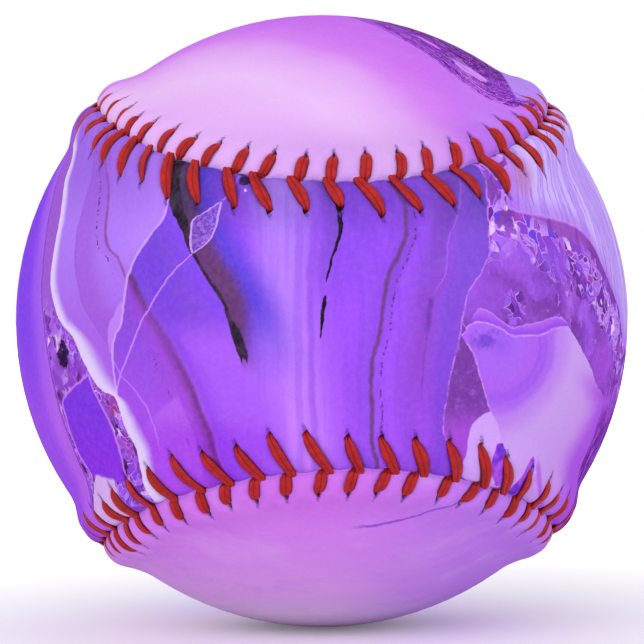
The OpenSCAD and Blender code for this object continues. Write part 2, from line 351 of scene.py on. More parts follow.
class Panel:
    """Points and faces of one cover panel, row by row."""

    def __init__(self, side):
        self.side = side
        self.index = np.repeat(np.arange(STITCHES), PER)
        self.u = np.tile(COLS, STITCHES)
        self.points, self.marks, self.faces = [], [], []

    def add(self, points, marks):
        start = sum(len(block) for block in self.points)
        self.points.append(points)
        self.marks.append(marks)
        return start

    def row(self, v, inner):
        """One closed row v mm from the seam, on the outer or the inner face."""
        side, index = self.side, self.index
        s, d = warp(side, index, self.u, np.full(TOTAL, v))
        s = s + shift_at(index + self.u) - shift_at(index)
        n = base(index) + s / PITCH
        h, near, pit = surface(side, index, s, d)
        if inner:
            h = ridge(d) - INNER_EDGE_FOLD * np.exp(-((d / EDGE_FOLD_W) ** 2))
            drift = (s - hole_s[side][index]) / INNER_PIT_HALF_W
            past = (d - hole_d[side][index] - INNER_PIT_PAST) / INNER_PIT_HALF_L
            pit = np.exp(-(drift ** 2 + past ** 2))
        keep = 1 - smooth(d, LAST_D - FLATTEN_D, LAST_D - FLAT_D)
        lift = -COVER_T if inner else 0
        across = side * d + seam_wiggle(n) * np.clip(1 - d / WAVES_REACH, 0, 1)
        groove = np.exp(-((d / GROOVE_W) ** 2))
        marks = [near * keep, np.clip(pit, 0, 1) * keep, groove, np.full(TOTAL, 1.0 if inner else 0.0)]
        return self.add(place(n, across, BALL_R + h * keep + lift), np.stack(marks, 1))

    def rows(self, places, hole_row, inner):
        """Rows at places across the seam, joined by quads that leave the needle holes open."""
        starts = [self.row(v, inner) for v in places]
        in_hole = np.isin(np.tile(np.arange(PER), STITCHES), HOLE_COLS[:-1])
        flip = (self.side == BACK) != inner
        for k in range(len(places) - 1):
            skip = in_hole if hole_row <= k < hole_row + HOLE_ROWS - 1 else None
            self.faces.append(grid_faces(starts[k], starts[k + 1], TOTAL, flip, skip))
        return starts

    def ribs(self, last, inner):
        """Spans the panel's middle between mirrored points of its last row."""
        lift, steps = (-COVER_T, INNER_RIB_STEPS) if inner else (0, RIB_STEPS)
        tip = (0 if self.side == FRONT else STITCHES // 4) * PER + PER // 2
        flat = np.concatenate(self.points)
        half = TOTAL // 2
        a = last + (tip + np.arange(1, half)) % TOTAL
        b = last + (tip - np.arange(1, half)) % TOTAL
        p, q = unit(flat[a]), unit(flat[b])
        swing = np.arccos(np.clip((p * q).sum(1), -1, 1))[:, None]
        t = (np.arange(1, steps) / steps)[:, None, None]
        arc = (p * np.sin((1 - t) * swing) + q * np.sin(t * swing)) / np.sin(swing)
        count = (half - 1) * (steps - 1)
        start = self.add((arc * (BALL_R + lift)).reshape(-1, 3), np.zeros((count, 4)) + [0, 0, 0, inner])
        grid = np.vstack([a[None], start + np.arange(count).reshape(steps - 1, half - 1), b[None]])
        corners = [grid[:-1, :-1], grid[:-1, 1:], grid[1:, 1:], grid[1:, :-1]]
        block = np.stack(corners, -1).reshape(-1, 4).tolist()
        ends = ((tip % TOTAL, grid[:, 0], False), ((tip + half) % TOTAL, grid[:, -1], True))
        for pole, line, turned in ends:
            tri = [(last + pole, line[k], line[k + 1]) for k in range(len(line) - 1)]
            block += [t[::-1] for t in tri] if turned else tri
        flip = (self.side == BACK) != inner
        self.faces.append([f[::-1] for f in block] if flip else block)

    def hole_walls(self, outer, inner):
        """Walls of the needle holes, between the first rows of the holes on the two faces."""
        lo, hi, far = HOLE_COLS[0], HOLE_COLS[-1], HOLE_ROWS - 1
        loop = [(0, c) for c in range(lo, hi)] + [(r, hi) for r in range(far)]
        loop += [(far, c) for c in range(hi, lo, -1)] + [(r, lo) for r in range(far, 0, -1)]
        wall = []
        for i in range(STITCHES):
            top = [outer[r] + i * PER + c for r, c in loop]
            low = [inner[r] + i * PER + c for r, c in loop]
            for k in range(len(loop)):
                m = (k + 1) % len(loop)
                quad = (top[k], top[m], low[m], low[k])
                wall.append(quad if self.side == FRONT else quad[::-1])
        self.faces.append(wall)


def build_panel(name, side):
    centre = HOLE_D[side] + HOLE_PAST
    hole_rows = np.linspace(centre - HOLE_HALF_L, centre + HOLE_HALF_L, HOLE_ROWS)
    before, after = hole_rows[0] - ROWS_BEFORE_HOLE, hole_rows[-1] + ROWS_AFTER_HOLE
    steps = 3 + int(round((before[0] - EDGE_ROWS[-1]) / ROW_STEP))
    rest = np.linspace(EDGE_ROWS[-1], before[0], steps)[1:-1]
    tail = np.linspace(after[-1], LAST_D, TAIL_ROWS + 1)[1:]
    first_hole = len(EDGE_ROWS) + len(rest) + len(before)
    panel = Panel(side)
    outer = panel.rows(np.concatenate([EDGE_ROWS, rest, before, hole_rows, after, tail]), first_hole, False)
    panel.ribs(outer[-1], False)
    inner_places = [INNER_EDGE_ROWS, hole_rows, [(hole_rows[-1] + LAST_D) / 2, LAST_D]]
    inner = panel.rows(np.concatenate(inner_places), len(INNER_EDGE_ROWS), True)
    panel.ribs(inner[-1], True)
    # The cut edge at the seam
    panel.faces.append(grid_faces(inner[0], outer[0], TOTAL, side == BACK))
    panel.hole_walls(outer[first_hole:], inner[len(INNER_EDGE_ROWS):])
    return make_object(name, np.concatenate(panel.points), panel.faces, np.concatenate(panel.marks),
                       sharp=SHARP_ANGLE)


# Threads
STRAND_W, STRAND_T = {FRONT: 0.5, BACK: 0.47}, 0.31
STRAND_APART = 0.8
# A leg on the leather: share of the way from foot to hole, height over it and share of the full width
LEG_SHAPE = {
    FRONT: ((0.965, 0.05, 0.64), (0.85, 0.22, 0.88), (0.64, 0.27, 1.03), (0.42, 0.28, 1.04),
            (0.2, 0.27, 0.93)),
    BACK: ((0.965, 0.06, 0.74), (0.84, 0.22, 0.94), (0.62, 0.27, 1.0), (0.4, 0.28, 1.0), (0.2, 0.27, 0.95)),
}
# Its way up through the hole: mm past the hole's start and over the panel's inner face, then half
# width, half thickness, half spacing and share of the leg's roll
LEG_RISE = ((0.2, -0.5, 0.3, 0.3, 0.28, 0), (0.16, 0.35, 0.28, 0.28, 0.22, 0),
            (0.1, 0.72, 0.28, 0.28, 0.22, 0.5))
# Its way down the seam's gap: mm along from the foot, across the seam and over the panels' edges,
# then the same, and last its way on below to the next stitch
LEG_DIVE = {
    FRONT: ((0.04, 0.05, 0.26, 0.4, STRAND_T, 0.3, 1), (-0.02, -0.42, 0.2, 0.36, 0.3, 0.26, 0),
            (0, -0.22, -0.75, 0.28, 0.28, 0.24, 0)),
    BACK: ((0, 0.42, 0.08, 0.35, 0.3, 0.28, 0.5), (0, 0.1, -0.3, 0.3, 0.3, 0.24, 0),
           (0, -0.1, -0.9, 0.28, 0.28, 0.24, 0)),
}
LEG_ON = (PITCH * 0.3, -1.1, -COVER_T - 0.35, 0.3, 0.3, 0.28, 0)
SIDES = 10
SPAN_STEPS = 3


def leg_controls(side, i):
    """Route of one leg, from under its panel up through the hole, over the ridge and down the seam's gap.
    Each control is place along in stitches, place across, radius, half width, half thickness, half
    spacing and roll."""
    hs, hd, fs, r = hole_s[side][i], hole_d[side][i], foot_s[side][i], roll[side][i]
    full = STRAND_W[side] * thick[side][i]
    under = BALL_R + float(ridge(hd)) - COVER_T
    out = [(hs, side * (hd + past), under + lift, w, t, apart, r * share)
           for past, lift, w, t, apart, share in LEG_RISE]
    for share, lift, wide in LEG_SHAPE[side]:
        s, d = fs + (hs - fs) * share + bow[side][i] * math.sin(math.pi * share), hd * share
        radius = BALL_R + float(surface(side, i, s, d)[0]) + lift
        out.append((s, side * d, radius, full * wide, STRAND_T, full * wide * STRAND_APART, r))
    out += [(fs + along, side * across, BALL_R + EDGE_H + lift, w, t, apart, r * share)
            for along, across, lift, w, t, apart, share in LEG_DIVE[side] + (LEG_ON,)]
    return [(base(i) + c[0] / PITCH,) + c[1:] for c in out]


def spline(controls, steps):
    """Closed Catmull-Rom curve through rows of numbers."""
    a, b, c, d = (np.roll(controls, k, 0)[:, None, :] for k in (1, 0, -1, -2))
    t = (np.arange(steps) / steps)[None, :, None]
    out = 0.5 * (2 * b + (c - a) * t + (2 * a - 5 * b + 4 * c - d) * t ** 2
                 + (3 * b - a - 3 * c + d) * t ** 3)
    return out.reshape(-1, controls.shape[1])


def build_thread(name, needle):
    controls = []
    for i in range(STITCHES):
        controls += leg_controls(FRONT if (i + needle) % 2 == 0 else BACK, i)
    controls = np.array(controls)
    here = place(controls[:, 0], controls[:, 1], controls[:, 2])
    line = spline(np.hstack([here, controls[:, 3:]]), SPAN_STEPS)
    centre, (half_w, half_t, apart, turn) = line[:, :3], line[:, 3:].T
    way = unit(np.roll(centre, -1, 0) - np.roll(centre, 1, 0))
    _, _, tangent = frame_at(np.repeat(controls[:, 0], SPAN_STEPS))
    wide = unit(tangent - (tangent * way).sum(1, keepdims=True) * way)
    thick_way = np.cross(way, wide)
    cos_t, sin_t = np.cos(turn)[:, None], np.sin(turn)[:, None]
    wide_t = wide * cos_t + thick_way * sin_t
    up_t = thick_way * cos_t - wide * sin_t
    count = len(centre)
    run = np.concatenate([[0], np.cumsum(np.linalg.norm(np.diff(centre, axis=0), axis=1))])
    after = np.append(run[1:], run[-1] + np.linalg.norm(centre[0] - centre[-1]))
    angles = 2 * math.pi * np.arange(SIDES) / SIDES
    points, faces, uvs, marks = [], [], [], []
    for strand, sign in enumerate((-1, 1)):
        mid = centre + wide_t * (sign * apart)[:, None]
        ring = (mid[:, None] + wide_t[:, None] * (half_w[:, None] * np.cos(angles))[..., None]
                + up_t[:, None] * (half_t[:, None] * np.sin(angles))[..., None])
        points.append(ring.reshape(-1, 3))
        # Height round the strand, and nearness to its partner, for painted shade on the strand's underside
        # and in the crevice between the two strands
        lift = ((ring - centre[:, None]) * unit(centre)[:, None]).sum(-1) / STRAND_T
        low = np.clip(0.5 - 0.5 * lift, 0, 1)
        inward = np.clip(-sign * np.cos(angles)[None, :] * np.ones((count, 1)), 0, 1)
        marks.append(np.stack([low, inward, np.zeros_like(low), np.ones_like(low)], -1).reshape(-1, 4))
        start = strand * count * SIDES
        one, two = start + np.arange(count) * SIDES, start + (np.arange(count) + 1) % count * SIDES
        for j in range(SIDES):
            m = (j + 1) % SIDES
            faces.append(np.stack([one + j, two + j, two + m, one + m], 1).tolist())
            corners = ((run, j), (after, j), (after, j + 1), (run, j + 1))
            uv = [np.stack([along, np.full(count, k / SIDES)], 1) for along, k in corners]
            uvs.append(np.stack(uv, 1).reshape(-1, 2))
    return make_object(name, np.concatenate(points), faces, np.concatenate(marks), np.concatenate(uvs))


front_panel = build_panel("front_panel_printed", FRONT)
back_panel = build_panel("back_panel_printed", BACK)
thread_one = build_thread("first_thread_strands", 0)
thread_two = build_thread("second_thread_strands", 1)


# Materials
class Val:
    """A socket of a material's node tree that sums, products and comparisons can be written with."""

    def __init__(self, graph, socket):
        self.graph, self.socket = graph, socket

    def __add__(self, other):
        return self.graph.math("ADD", self, other)

    def __sub__(self, other):
        return self.graph.math("SUBTRACT", self, other)

    def __mul__(self, other):
        return self.graph.math("MULTIPLY", self, other)

    def __truediv__(self, other):
        return self.graph.math("DIVIDE", self, other)

    def __rsub__(self, other):
        return self.graph.math("SUBTRACT", other, self)

    __radd__, __rmul__ = __add__, __mul__

    def abs(self):
        return self.graph.math("ABSOLUTE", self)

    def coat(self, share, colour, blend="MIX"):
        """Lays a share of another colour over this one."""
        self.socket = self.graph.mix(share, self, colour, blend).socket


def linear(code):
    """Linear colour of an sRGB colour that is written as #RRGGBB."""
    levels = [int(code[k:k + 2], 16) / 255 for k in (1, 3, 5)]
    return tuple(c / 12.92 if c <= 0.04045 else ((c + 0.055) / 1.055) ** 2.4 for c in levels)


class Graph:
    """Node tree of one material, ending in a Principled shader."""

    def __init__(self, name):
        self.material = bpy.data.materials.new(name)
        self.material.use_nodes = True
        self.tree = self.material.node_tree
        self.shader = self.tree.nodes["Principled BSDF"]
        self.place = Val(self, self.node("ShaderNodeTexCoord").outputs["Object"])

    def node(self, kind, inputs=None, **settings):
        node = self.tree.nodes.new(kind)
        for key, value in settings.items():
            setattr(node, key, value)
        for key, value in (inputs or {}).items():
            self.put(node.inputs[key], value)
        return node

    def put(self, socket, value):
        if isinstance(value, Val):
            self.tree.links.new(value.socket, socket)
        elif isinstance(value, str):
            socket.default_value = (*linear(value), 1)
        else:
            socket.default_value = value

    def math(self, kind, a, b=None, c=None):
        node = self.node("ShaderNodeMath", operation=kind)
        for socket, value in zip(node.inputs, (a, b, c)):
            if value is not None:
                self.put(socket, value)
        return Val(self, node.outputs[0])

    def step(self, x, low, high):
        """0 below low and 1 above high, smoothly."""
        node = self.node("ShaderNodeMapRange", {"Value": x, "From Min": low, "From Max": high},
                         interpolation_type="SMOOTHSTEP", clamp=False)
        return Val(self, node.outputs["Result"])

    def fade(self, x, low, high):
        """1 below low and 0 above high, smoothly."""
        return 1 - self.step(x, low, high)

    def between(self, x, low, full, end, none):
        """0 below low, 1 from full to end, and 0 again above none."""
        return self.step(x, low, full) * self.fade(x, end, none)

    def band(self, x, width, soft):
        """1 where x is within width of zero, and 0 past width + soft."""
        return self.fade(x.abs(), width, width + soft)

    def most(self, a, b):
        return self.math("MAXIMUM", a, b)

    def radius(self, *parts):
        """Root of the sum of squares. A part is a value, or a value and its square's weight."""
        squares = [part[0] * part[0] * part[1] if isinstance(part, tuple) else part * part for part in parts]
        return self.math("SQRT", squares[0] + squares[1])

    def mix(self, share, a, b, blend="MIX"):
        node = self.node("ShaderNodeMix", data_type="RGBA", blend_type=blend)
        for index, value in ((0, share), (6, a), (7, b)):
            self.put(node.inputs[index], value)
        return Val(self, node.outputs[2])

    def vector(self, kind, a, b=None, scale=None):
        node = self.node("ShaderNodeVectorMath", operation=kind)
        self.put(node.inputs[0], a)
        if b is not None:
            self.put(node.inputs[1], b)
        if scale is not None:
            self.put(node.inputs["Scale"], scale)
        return Val(self, node.outputs["Value" if kind == "LENGTH" else "Vector"])

    def push(self, v, by, share):
        """A vector moved by a share of another one."""
        return self.vector("ADD", v, self.vector("SCALE", by, scale=share))

    def split(self, v):
        """The three parts of a vector or a colour, by its own kind of node, so that nothing is converted."""
        kind = "ShaderNodeSeparateColor" if v.socket.type == "RGBA" else "ShaderNodeSeparateXYZ"
        node = self.node(kind, {0: v})
        return [Val(self, s) for s in node.outputs[:3]]

    def join(self, x, y, z):
        return Val(self, self.node("ShaderNodeCombineXYZ", {0: x, 1: y, 2: z}).outputs[0])

    def noise(self, v, scale, detail=2.0, rough=0.5, colour=False):
        inputs = {"Vector": v, "Scale": scale, "Detail": detail, "Roughness": rough}
        node = self.node("ShaderNodeTexNoise", inputs)
        if colour:
            return self.join(*self.split(Val(self, node.outputs["Color"])))
        return Val(self, node.outputs["Fac"])

    def cells(self, v, scale, feature="F1", out="Distance"):
        node = self.node("ShaderNodeTexVoronoi", {"Vector": v, "Scale": scale}, feature=feature)
        return Val(self, node.outputs[out])

    def ramp(self, x, stops, kind="EASE"):
        node = self.node("ShaderNodeValToRGB", {0: x})
        ramp = node.color_ramp
        ramp.interpolation = kind
        while len(ramp.elements) > 1:
            ramp.elements.remove(ramp.elements[0])
        for k, (at, colour) in enumerate(stops):
            element = ramp.elements[0] if k == 0 else ramp.elements.new(at)
            element.position = at
            element.color = (*linear(colour), 1)
        return Val(self, node.outputs["Color"])

    def curve(self, x, x_range, y_range, *points):
        """A smooth curve through points (x, y), held level past its ends."""
        (x0, x1), (y0, y1) = x_range, y_range
        node = self.node("ShaderNodeFloatCurve", {"Value": (x - x0) / (x1 - x0)})
        line = node.mapping.curves[0]
        spots = [((px - x0) / (x1 - x0), (py - y0) / (y1 - y0)) for px, py in sorted(points)]
        while len(line.points) < len(spots):
            line.points.new(0.5, 0.5)
        for point, spot in zip(line.points, spots):
            point.location = spot
            point.handle_type = "AUTO_CLAMPED"
        node.mapping.update()
        return Val(self, node.outputs[0]) * (y1 - y0) + y0

    def attribute(self, name):
        node = self.node("ShaderNodeAttribute", attribute_name=name, attribute_type="GEOMETRY")
        return Val(self, node.outputs["Color"])

    def bump(self, height, strength, distance):
        node = self.node("ShaderNodeBump", {"Height": height, "Strength": strength, "Distance": distance})
        self.tree.links.new(node.outputs[0], self.shader.inputs["Normal"])

    def finish(self, **inputs):
        for key, value in inputs.items():
            self.put(self.shader.inputs[key.replace("_", " ")], value)
        return self.material


# Palette of the agate print
BLUE = "#7042FC"
VIOLET = "#9C50F7"
DEEP = "#8448CD"
PLUM = "#8040AC"
LILAC = "#BA7CFB"
PALE = "#CE9EF7"
MILK = "#E2CEFA"
BROWN = "#743E84"
OLIVE = "#1E1620"
# Softness of an edge, and how far edges wander and fray, in degrees
EDGE, WANDER, FRAY = 0.12, 2, 0.7
LAT_RANGE = (-60, 60)


class Print(Graph):
    """Agate print: bands, healed cracks and crystal pockets, laid out by longitude and latitude."""

    def __init__(self, name):
        super().__init__(name)
        self.ball = self.vector("NORMALIZE", self.place)
        wander = self.noise(self.ball, 5.0, 3, colour=True)
        fine = self.noise(self.ball, 38.0, 3, 0.6, colour=True)
        wx, wy, _ = self.split(wander)
        fx, fy, _ = self.split(fine)
        x, y, z = self.split(self.ball)
        to_degrees = 180 / math.pi
        self.lon = self.math("ARCTAN2", x, -1 * y) * to_degrees + (wx - 0.5) * WANDER + (fx - 0.5) * FRAY
        self.lat = self.math("ARCSINE", z) * to_degrees + (wy - 0.5) * WANDER + (fy - 0.5) * FRAY
        self.level = self.math("COSINE", self.lat / to_degrees)
        self.wx, self.wy, self.fx, self.fine = wx, wy, fx, fine
        self.x, self.y, self.z = x, y, z

    def off(self, *points):
        """Degrees east of a line given by (latitude, longitude) points."""
        longitudes = [p[1] for p in points]
        line = self.curve(self.lat, LAT_RANGE, (min(longitudes) - 1, max(longitudes) + 1), *points)
        return (self.lon - line) * self.level

    def width(self, widest, *points):
        """A width in degrees, up to the widest, that follows (latitude, width) points."""
        return self.curve(self.lat, LAT_RANGE, (0, widest), *points)

    def inside(self, west, east):
        """1 east of one line and west of another, given the degrees east of each."""
        return self.step(west, -EDGE, EDGE) * self.fade(east, -EDGE, EDGE)

    def crystals(self, scale, dark, bright=0.5, stretch=(1.7, 1.7, 0.62), crowd=None):
        """Pocket of glassy crystals: dull facets, and crowds of small sharp shards, pale, blue and dark."""
        bend = self.noise(self.ball, 7.0, 2, colour=True)
        v = self.push(self.ball, bend, 0.14)
        facet = self.split(self.cells(v, scale, out="Color"))
        haze = self.noise(v, 9.0, 4, 0.62)
        base = self.ramp(facet[0], [(0.0, PLUM), (0.35, "#944ACE"), (0.6, "#A45AEE"), (0.8, "#8C44C4"),
                                    (1.0, "#9654E2")], "LINEAR")
        base = self.mix(self.step(haze, 0.32, 0.6), dark, base)
        base.coat(self.step(haze, 0.54, 0.76) * bright, "#BA7AF8")
        bend_more = self.push(self.vector("SCALE", bend, scale=0.5), self.fine, 0.014)
        leaning = self.join(self.x + self.z * 0.3, self.y, self.z)
        shard_place = self.vector("ADD", self.vector("MULTIPLY", leaning, stretch), bend_more)
        small = scale * 2.0
        shard = self.split(self.cells(shard_place, small, out="Color"))
        shards = self.ramp(shard[0], [(0.0, "#7032A4"), (0.14, "#A65EF0"), (0.28, "#8C44D4"),
                                      (0.42, "#C288FA"), (0.54, "#6A40E2"), (0.64, "#9C40C6"),
                                      (0.77, "#461E70"), (0.81, "#E6C8FC"), (0.86, "#9652EE"),
                                      (0.9, "#B26AF6")], "CONSTANT")
        rim = self.cells(shard_place, small, "DISTANCE_TO_EDGE")
        shards.coat(self.band(rim - 0.12, 0.03, 0.07) * self.step(shard[2], 0.55, 0.6) * 0.5, "#541C84")
        shards.coat(self.band(rim, 0.02, 0.06) * self.step(shard[1], 0.25, 0.35) * 0.85, "#D89AFC")
        if crowd is None:
            crowd = self.noise(self.ball, 5.5, 2)
        colour = self.mix(self.step(crowd, 0.47, 0.53), base, shards)
        glint = self.noise(shard_place, 34.0, 3, 0.7)
        return self.mix(self.step(glint, 0.64, 0.72) * 0.6, colour, "#D8A0FC")

    def veins(self, base, scale, width, colour, share, seed):
        """Thin healed cracks, here and there, over a base."""
        v = self.vector("ADD", self.ball, (seed, -seed, seed * 0.5))
        v = self.push(v, self.noise(self.ball, 4.0, 3, colour=True), 0.25)
        edge = self.cells(v, scale, "DISTANCE_TO_EDGE")
        some = self.step(self.noise(v, 2.3, 1), 0.48, 0.56)
        return self.mix(self.band(edge, width, width * 1.5) * some * share, base, colour)

    def strata(self, coordinate, period, seed):
        """Agate's own banding: wide soft bands with thin ones in them."""
        t = coordinate / period + self.noise(self.ball, 1.5, 1) * 1.5 + (self.wx - 0.5) * 0.3 + seed
        wide = self.math("FRACT", t)
        base = self.ramp(wide, [(0.0, VIOLET), (0.16, LILAC), (0.3, PALE), (0.42, LILAC), (0.55, VIOLET),
                                (0.68, BLUE), (0.8, DEEP), (0.86, BROWN), (0.9, DEEP), (1.0, VIOLET)])
        ripple = self.math("SINE", t * 41 + self.fx * 3) * 0.5 + 0.5
        return self.mix(self.step(ripple, 0.55, 1.0) * 0.22, base, DEEP)

    def cover(self, colour):
        """Finishes a printed panel: leather grain, painted shade beside the thread, painted shade in the
        needle holes' pits and creases, a painted highlight along the seam, and raw hide on the cut edges.
        """
        near, pit, groove = self.split(self.attribute("marks"))
        raw = Val(self, self.node("ShaderNodeAttribute", attribute_name="marks").outputs["Alpha"])
        mottle = self.noise(self.ball, 60.0, 3, 0.6)
        colour.coat(self.step(mottle, 0.35, 0.75) * 0.04, MILK)
        # Painted shade: the leather is darkened where it lies next to the thread's legs
        shade = self.mix(0.6, colour, "#6030A0", "MULTIPLY")
        colour.coat(self.step(near, 0.3, 0.95) * 0.4, shade)
        # Painted highlight: a thin pale line along the seam's edge, where the groove is
        colour.coat(self.band(groove - 1, 0.1, 0.3) * 0.3, "#E2BEF6")
        hide = self.mix(self.noise(self.ball, 90.0, 2), "#C4BAC8", "#D6CED6")
        colour.coat(raw, hide)
        # Painted shade: dark violet in the needle holes' pits and in creases beyond them
        creases = self.noise(self.ball, 130.0, 3, 0.7)
        colour.coat(self.step(pit + (creases - 0.5) * 1.1, 0.5, 0.9) * 0.56, "#3E266C")
        pores = self.cells(self.push(self.ball, self.noise(self.ball, 60.0, 2, colour=True), 0.02), 95.0)
        height = self.noise(self.ball, 160.0, 3, 0.6) * 0.6 + pores * 0.5
        self.bump(height + self.noise(self.ball, 14.0, 2) * 0.8, 0.35, 0.0003)
        rough = self.step(self.noise(self.ball, 30.0, 3), 0.2, 0.8) * 0.12 + 0.74
        return self.finish(Base_Color=colour, Roughness=rough, Specular_IOR_Level=0.01)


def front_print():
    """The front panel's print. Places are in degrees of longitude and latitude, from the ball's front."""
    g = Print("front_agate_print")
    lon, lat, noise, join, curve, ramp = g.lon, g.lat, g.noise, g.join, g.curve, g.ramp
    mix, step, fade, between, band, most = g.mix, g.step, g.fade, g.between, g.band, g.most
    off, width, inside, radius = g.off, g.width, g.inside, g.radius
    south = fade(lat, -25, 15)

    # The wide field between the dark fissure and the crystals, from west to east
    field = mix(south * 0.6, VIOLET, "#B058FA")
    fissure = off((-45, -8), (-20, -12), (-6, -18), (3, -21), (8, -24), (13, -27.5), (17, -30), (22, -33),
                  (30, -34), (40, -34))
    milky = off((-30, -11.5), (-14, -11), (4, -11), (17, -11), (30, -9))
    field.coat(band(milky, 1.2, 6.5) * 0.95, "#B880FD")
    field.coat(band(milky - 2, 1.5, 8.0) * south, "#CA82FD")
    field.coat(fade(lat, -8, 0) * fade(milky, -2, 2) * 0.7, "#B264F9")
    field.coat(between(fissure, 0, 1.5, 6, 13) * step(lat, -12, 6), "#6242DE")
    ink = off((-14, -5), (0, -4.1), (4.8, -3.5), (7.4, -3.1), (11, -2.2), (14.8, -1.1), (18, -0.6),
              (21, -1.4), (25.8, -2.8), (32, -3.5))
    field.coat(between(ink, -4.5, -0.2, -0.2, 0.2) * step(lat, 4, 17) * 0.85, "#7A4CC4")
    stripe = off((-18, -5.7), (-9, -5.9), (0, -6), (8, -5.9), (16, -5.5), (26, -6.2))
    for shift, share in ((0, 0.55), (2.4, 0.4), (-3.4, 0.15)):
        field.coat(band(stripe + shift, 0.25, 0.8) * fade(lat, 16, 22) * share, "#924CE4")
    field.coat(between(ink, 0.1, 0.8, 4, 10) * step(lat, 2, 14) * 0.5, "#864AE6")
    rust = off((-32, 6), (-25, 5.6), (-18, 4.3), (-11, 4.3), (-0.7, 5.6), (7, 7.1), (12.9, 9.7),
               (18.2, 11.1), (22, 10), (26, 8.6), (32, 7))
    field.coat(between(rust, -4.5, -0.4, -0.4, 0) * 0.6, "#8C4AE2")
    field.coat(between(rust, 0, 0.3, 1.2, 2.8) * step(lat, -6, 8) * 0.6, "#8448D0")
    smoke = off((-25, 13.6), (-11, 13.4), (-6, 13.6), (-1, 14.4), (4, 15.1), (6, 16.1), (9.3, 17.9),
                (14.6, 18.8), (19.1, 21.6), (28, 23))
    field.coat(step(rust, 2.6, 6) * 0.85, mix(south, "#9250DE", "#9C4AE4"))
    field.coat(step(smoke, 0.2, 3.0) * 0.85, mix(south, "#8250DA", "#8842DE"))
    field.coat(between(smoke, -6, -1.5, -1, 0.2) * step(lat, 6, 14) * 0.55, "#7846BE")
    field.coat(band(smoke + 0.8, 0.4, 2.4) * fade(lat, 6, 12) * step(lat, -16, -4) * 0.5, "#8E42C0")
    field.coat(band(smoke, 0.06, 0.22) * step(lat, 5, 7) * 0.55, "#A870F2")
    field.coat(band(smoke, 0.2, 0.55) * step(lat, -1.6, -0.4) * fade(lat, 4, 5.2) * 0.7, "#6834A0")
    field.coat(band(smoke, 0.04, 0.2) * step(lat, -13, -9) * fade(lat, -1, 0) * 0.5, "#763CB8")
    grain = step(noise(join(lon, lat * 0.05, 0.0), 0.62, 4, 0.65), 0.46, 0.66)
    field.coat(grain * 0.22, "#763ED6")
    # Painted shade: the field darkens towards the seam at the top
    field.coat(step(lat, 14, 22) * 0.6, "#B4CDC8", "MULTIPLY")
    specks = noise(g.ball, 96.0, 1)
    breaks = step(noise(g.ball, 13.0, 2), 0.36, 0.4)
    ink_width = width(1, (-2.4, 0), (-0.2, 0.12), (2, 0.24), (4.6, 0.2), (5.4, 0), (6.8, 0), (8, 0.08),
                      (11, 0.16), (15, 0.22), (18, 0.4), (26, 0.45))
    field.coat(fade(ink.abs() - ink_width, 0, 0.14) * step(ink_width, 0.01, 0.04) * (breaks * 0.5 + 0.5),
               OLIVE)
    field.coat(band(rust, 0.1, 0.52) * 0.95, mix(g.fx, "#66347C", "#7A4688"))
    field.coat(band(rust - 1.7, 0.12, 0.2) * step(specks, 0.52, 0.56) * fade(lat, 19, 21) * 0.8, "#542C84")

    # West of the fissure: blue-violet with a rusty streak
    west = mix(south, "#7848D8", "#AE54F0")
    west.coat(step(fissure, -7, 0) * 0.7, "#8A4AF6")
    streak = off((-30, -22), (-19.3, -25), (-14.7, -26.5), (-10.3, -27.9), (-5.1, -29.9), (-0.4, -32.7),
                 (3.1, -35.7), (9.2, -39.9), (14, -45))
    streak_w = width(5, (-25, 0.5), (-16, 0.6), (-10, 0.9), (-3, 1.3), (4, 1.0), (12, 0.6))
    west.coat(between(streak, -9, -1, -0.5, 0.4) * 0.6, "#A448D8")
    west.coat(between(streak, -1.5 - streak_w, 0.3 - streak_w * 0.4, -0.3, 0.9) * 0.75, "#7E3A92")
    west.coat(band(streak - 0.2, 0.2, 0.6) * fade(lat, -10, -1) * 0.6, "#6E2C70")
    west.coat(between(streak, -1.4, 0, 0, 1.2) * step(lat, 2, 7) * 0.6, "#543260")
    west.coat(between(streak, 0.6, 2.4, 5, 11) * 0.5, "#783EE4")
    west.coat(step(streak, 0.6, 3) * fade(lat, -4, 3) * 0.85, mix(step(streak, 1, 6), "#9E4CF3", "#B060F9"))
    west.coat(band(streak + 4.6, 0.12, 0.22) * step(specks, 0.6, 0.63), "#5C2C80")
    below = (lon + 30.4) * 0.65 - 11 - lat
    west.coat(step(below, -0.2, 1.4) * fade(streak, -3.4, -2.6) * 0.6, "#BE68F6")
    # Painted shade: the west darkens towards the seam at the bottom
    west.coat(fade(lat, -20, -14) * 0.75, "#E6B4F5", "MULTIPLY")
    blur = fade(lat, -13, -6) * 5 + 0.15
    colour = mix(step(fissure, -1 * blur, blur), west, field)
    glow_width = width(8, (-8, 0.3), (-4, 1.4), (2, 3.6), (8, 4.6), (15, 5.0), (20, 5.4), (30, 4))
    rusty = step(fissure, -0.4, 0.1) * fade(fissure - glow_width, -1.6, 2.2) * step(lat, -9, -4)
    colour.coat(rusty * 0.95, mix(step(lat, 14, 22), "#68386C", "#4E3658"))
    opening = width(6, (-7, 0.5), (-5, 1.2), (-2.5, 1.5), (0.5, 0.9), (3, 0.3), (9, 0.25), (13, 0.5),
                    (17, 1.3), (20, 2.2), (28, 2.6), (40, 2.6))
    fray = noise(join(lon, lat * 0.05, 2.0), 2.6, 2)
    dark = step(fissure, -0.3, -0.05) * fade(fissure - opening, 0, 0.45)
    dark = dark * step(lat + (fray - 0.5) * 7, -5.4, -4.8)
    colour.coat(dark * 0.92, mix(step(noise(g.ball, 20.0, 3), 0.42, 0.7), OLIVE, "#423246"))

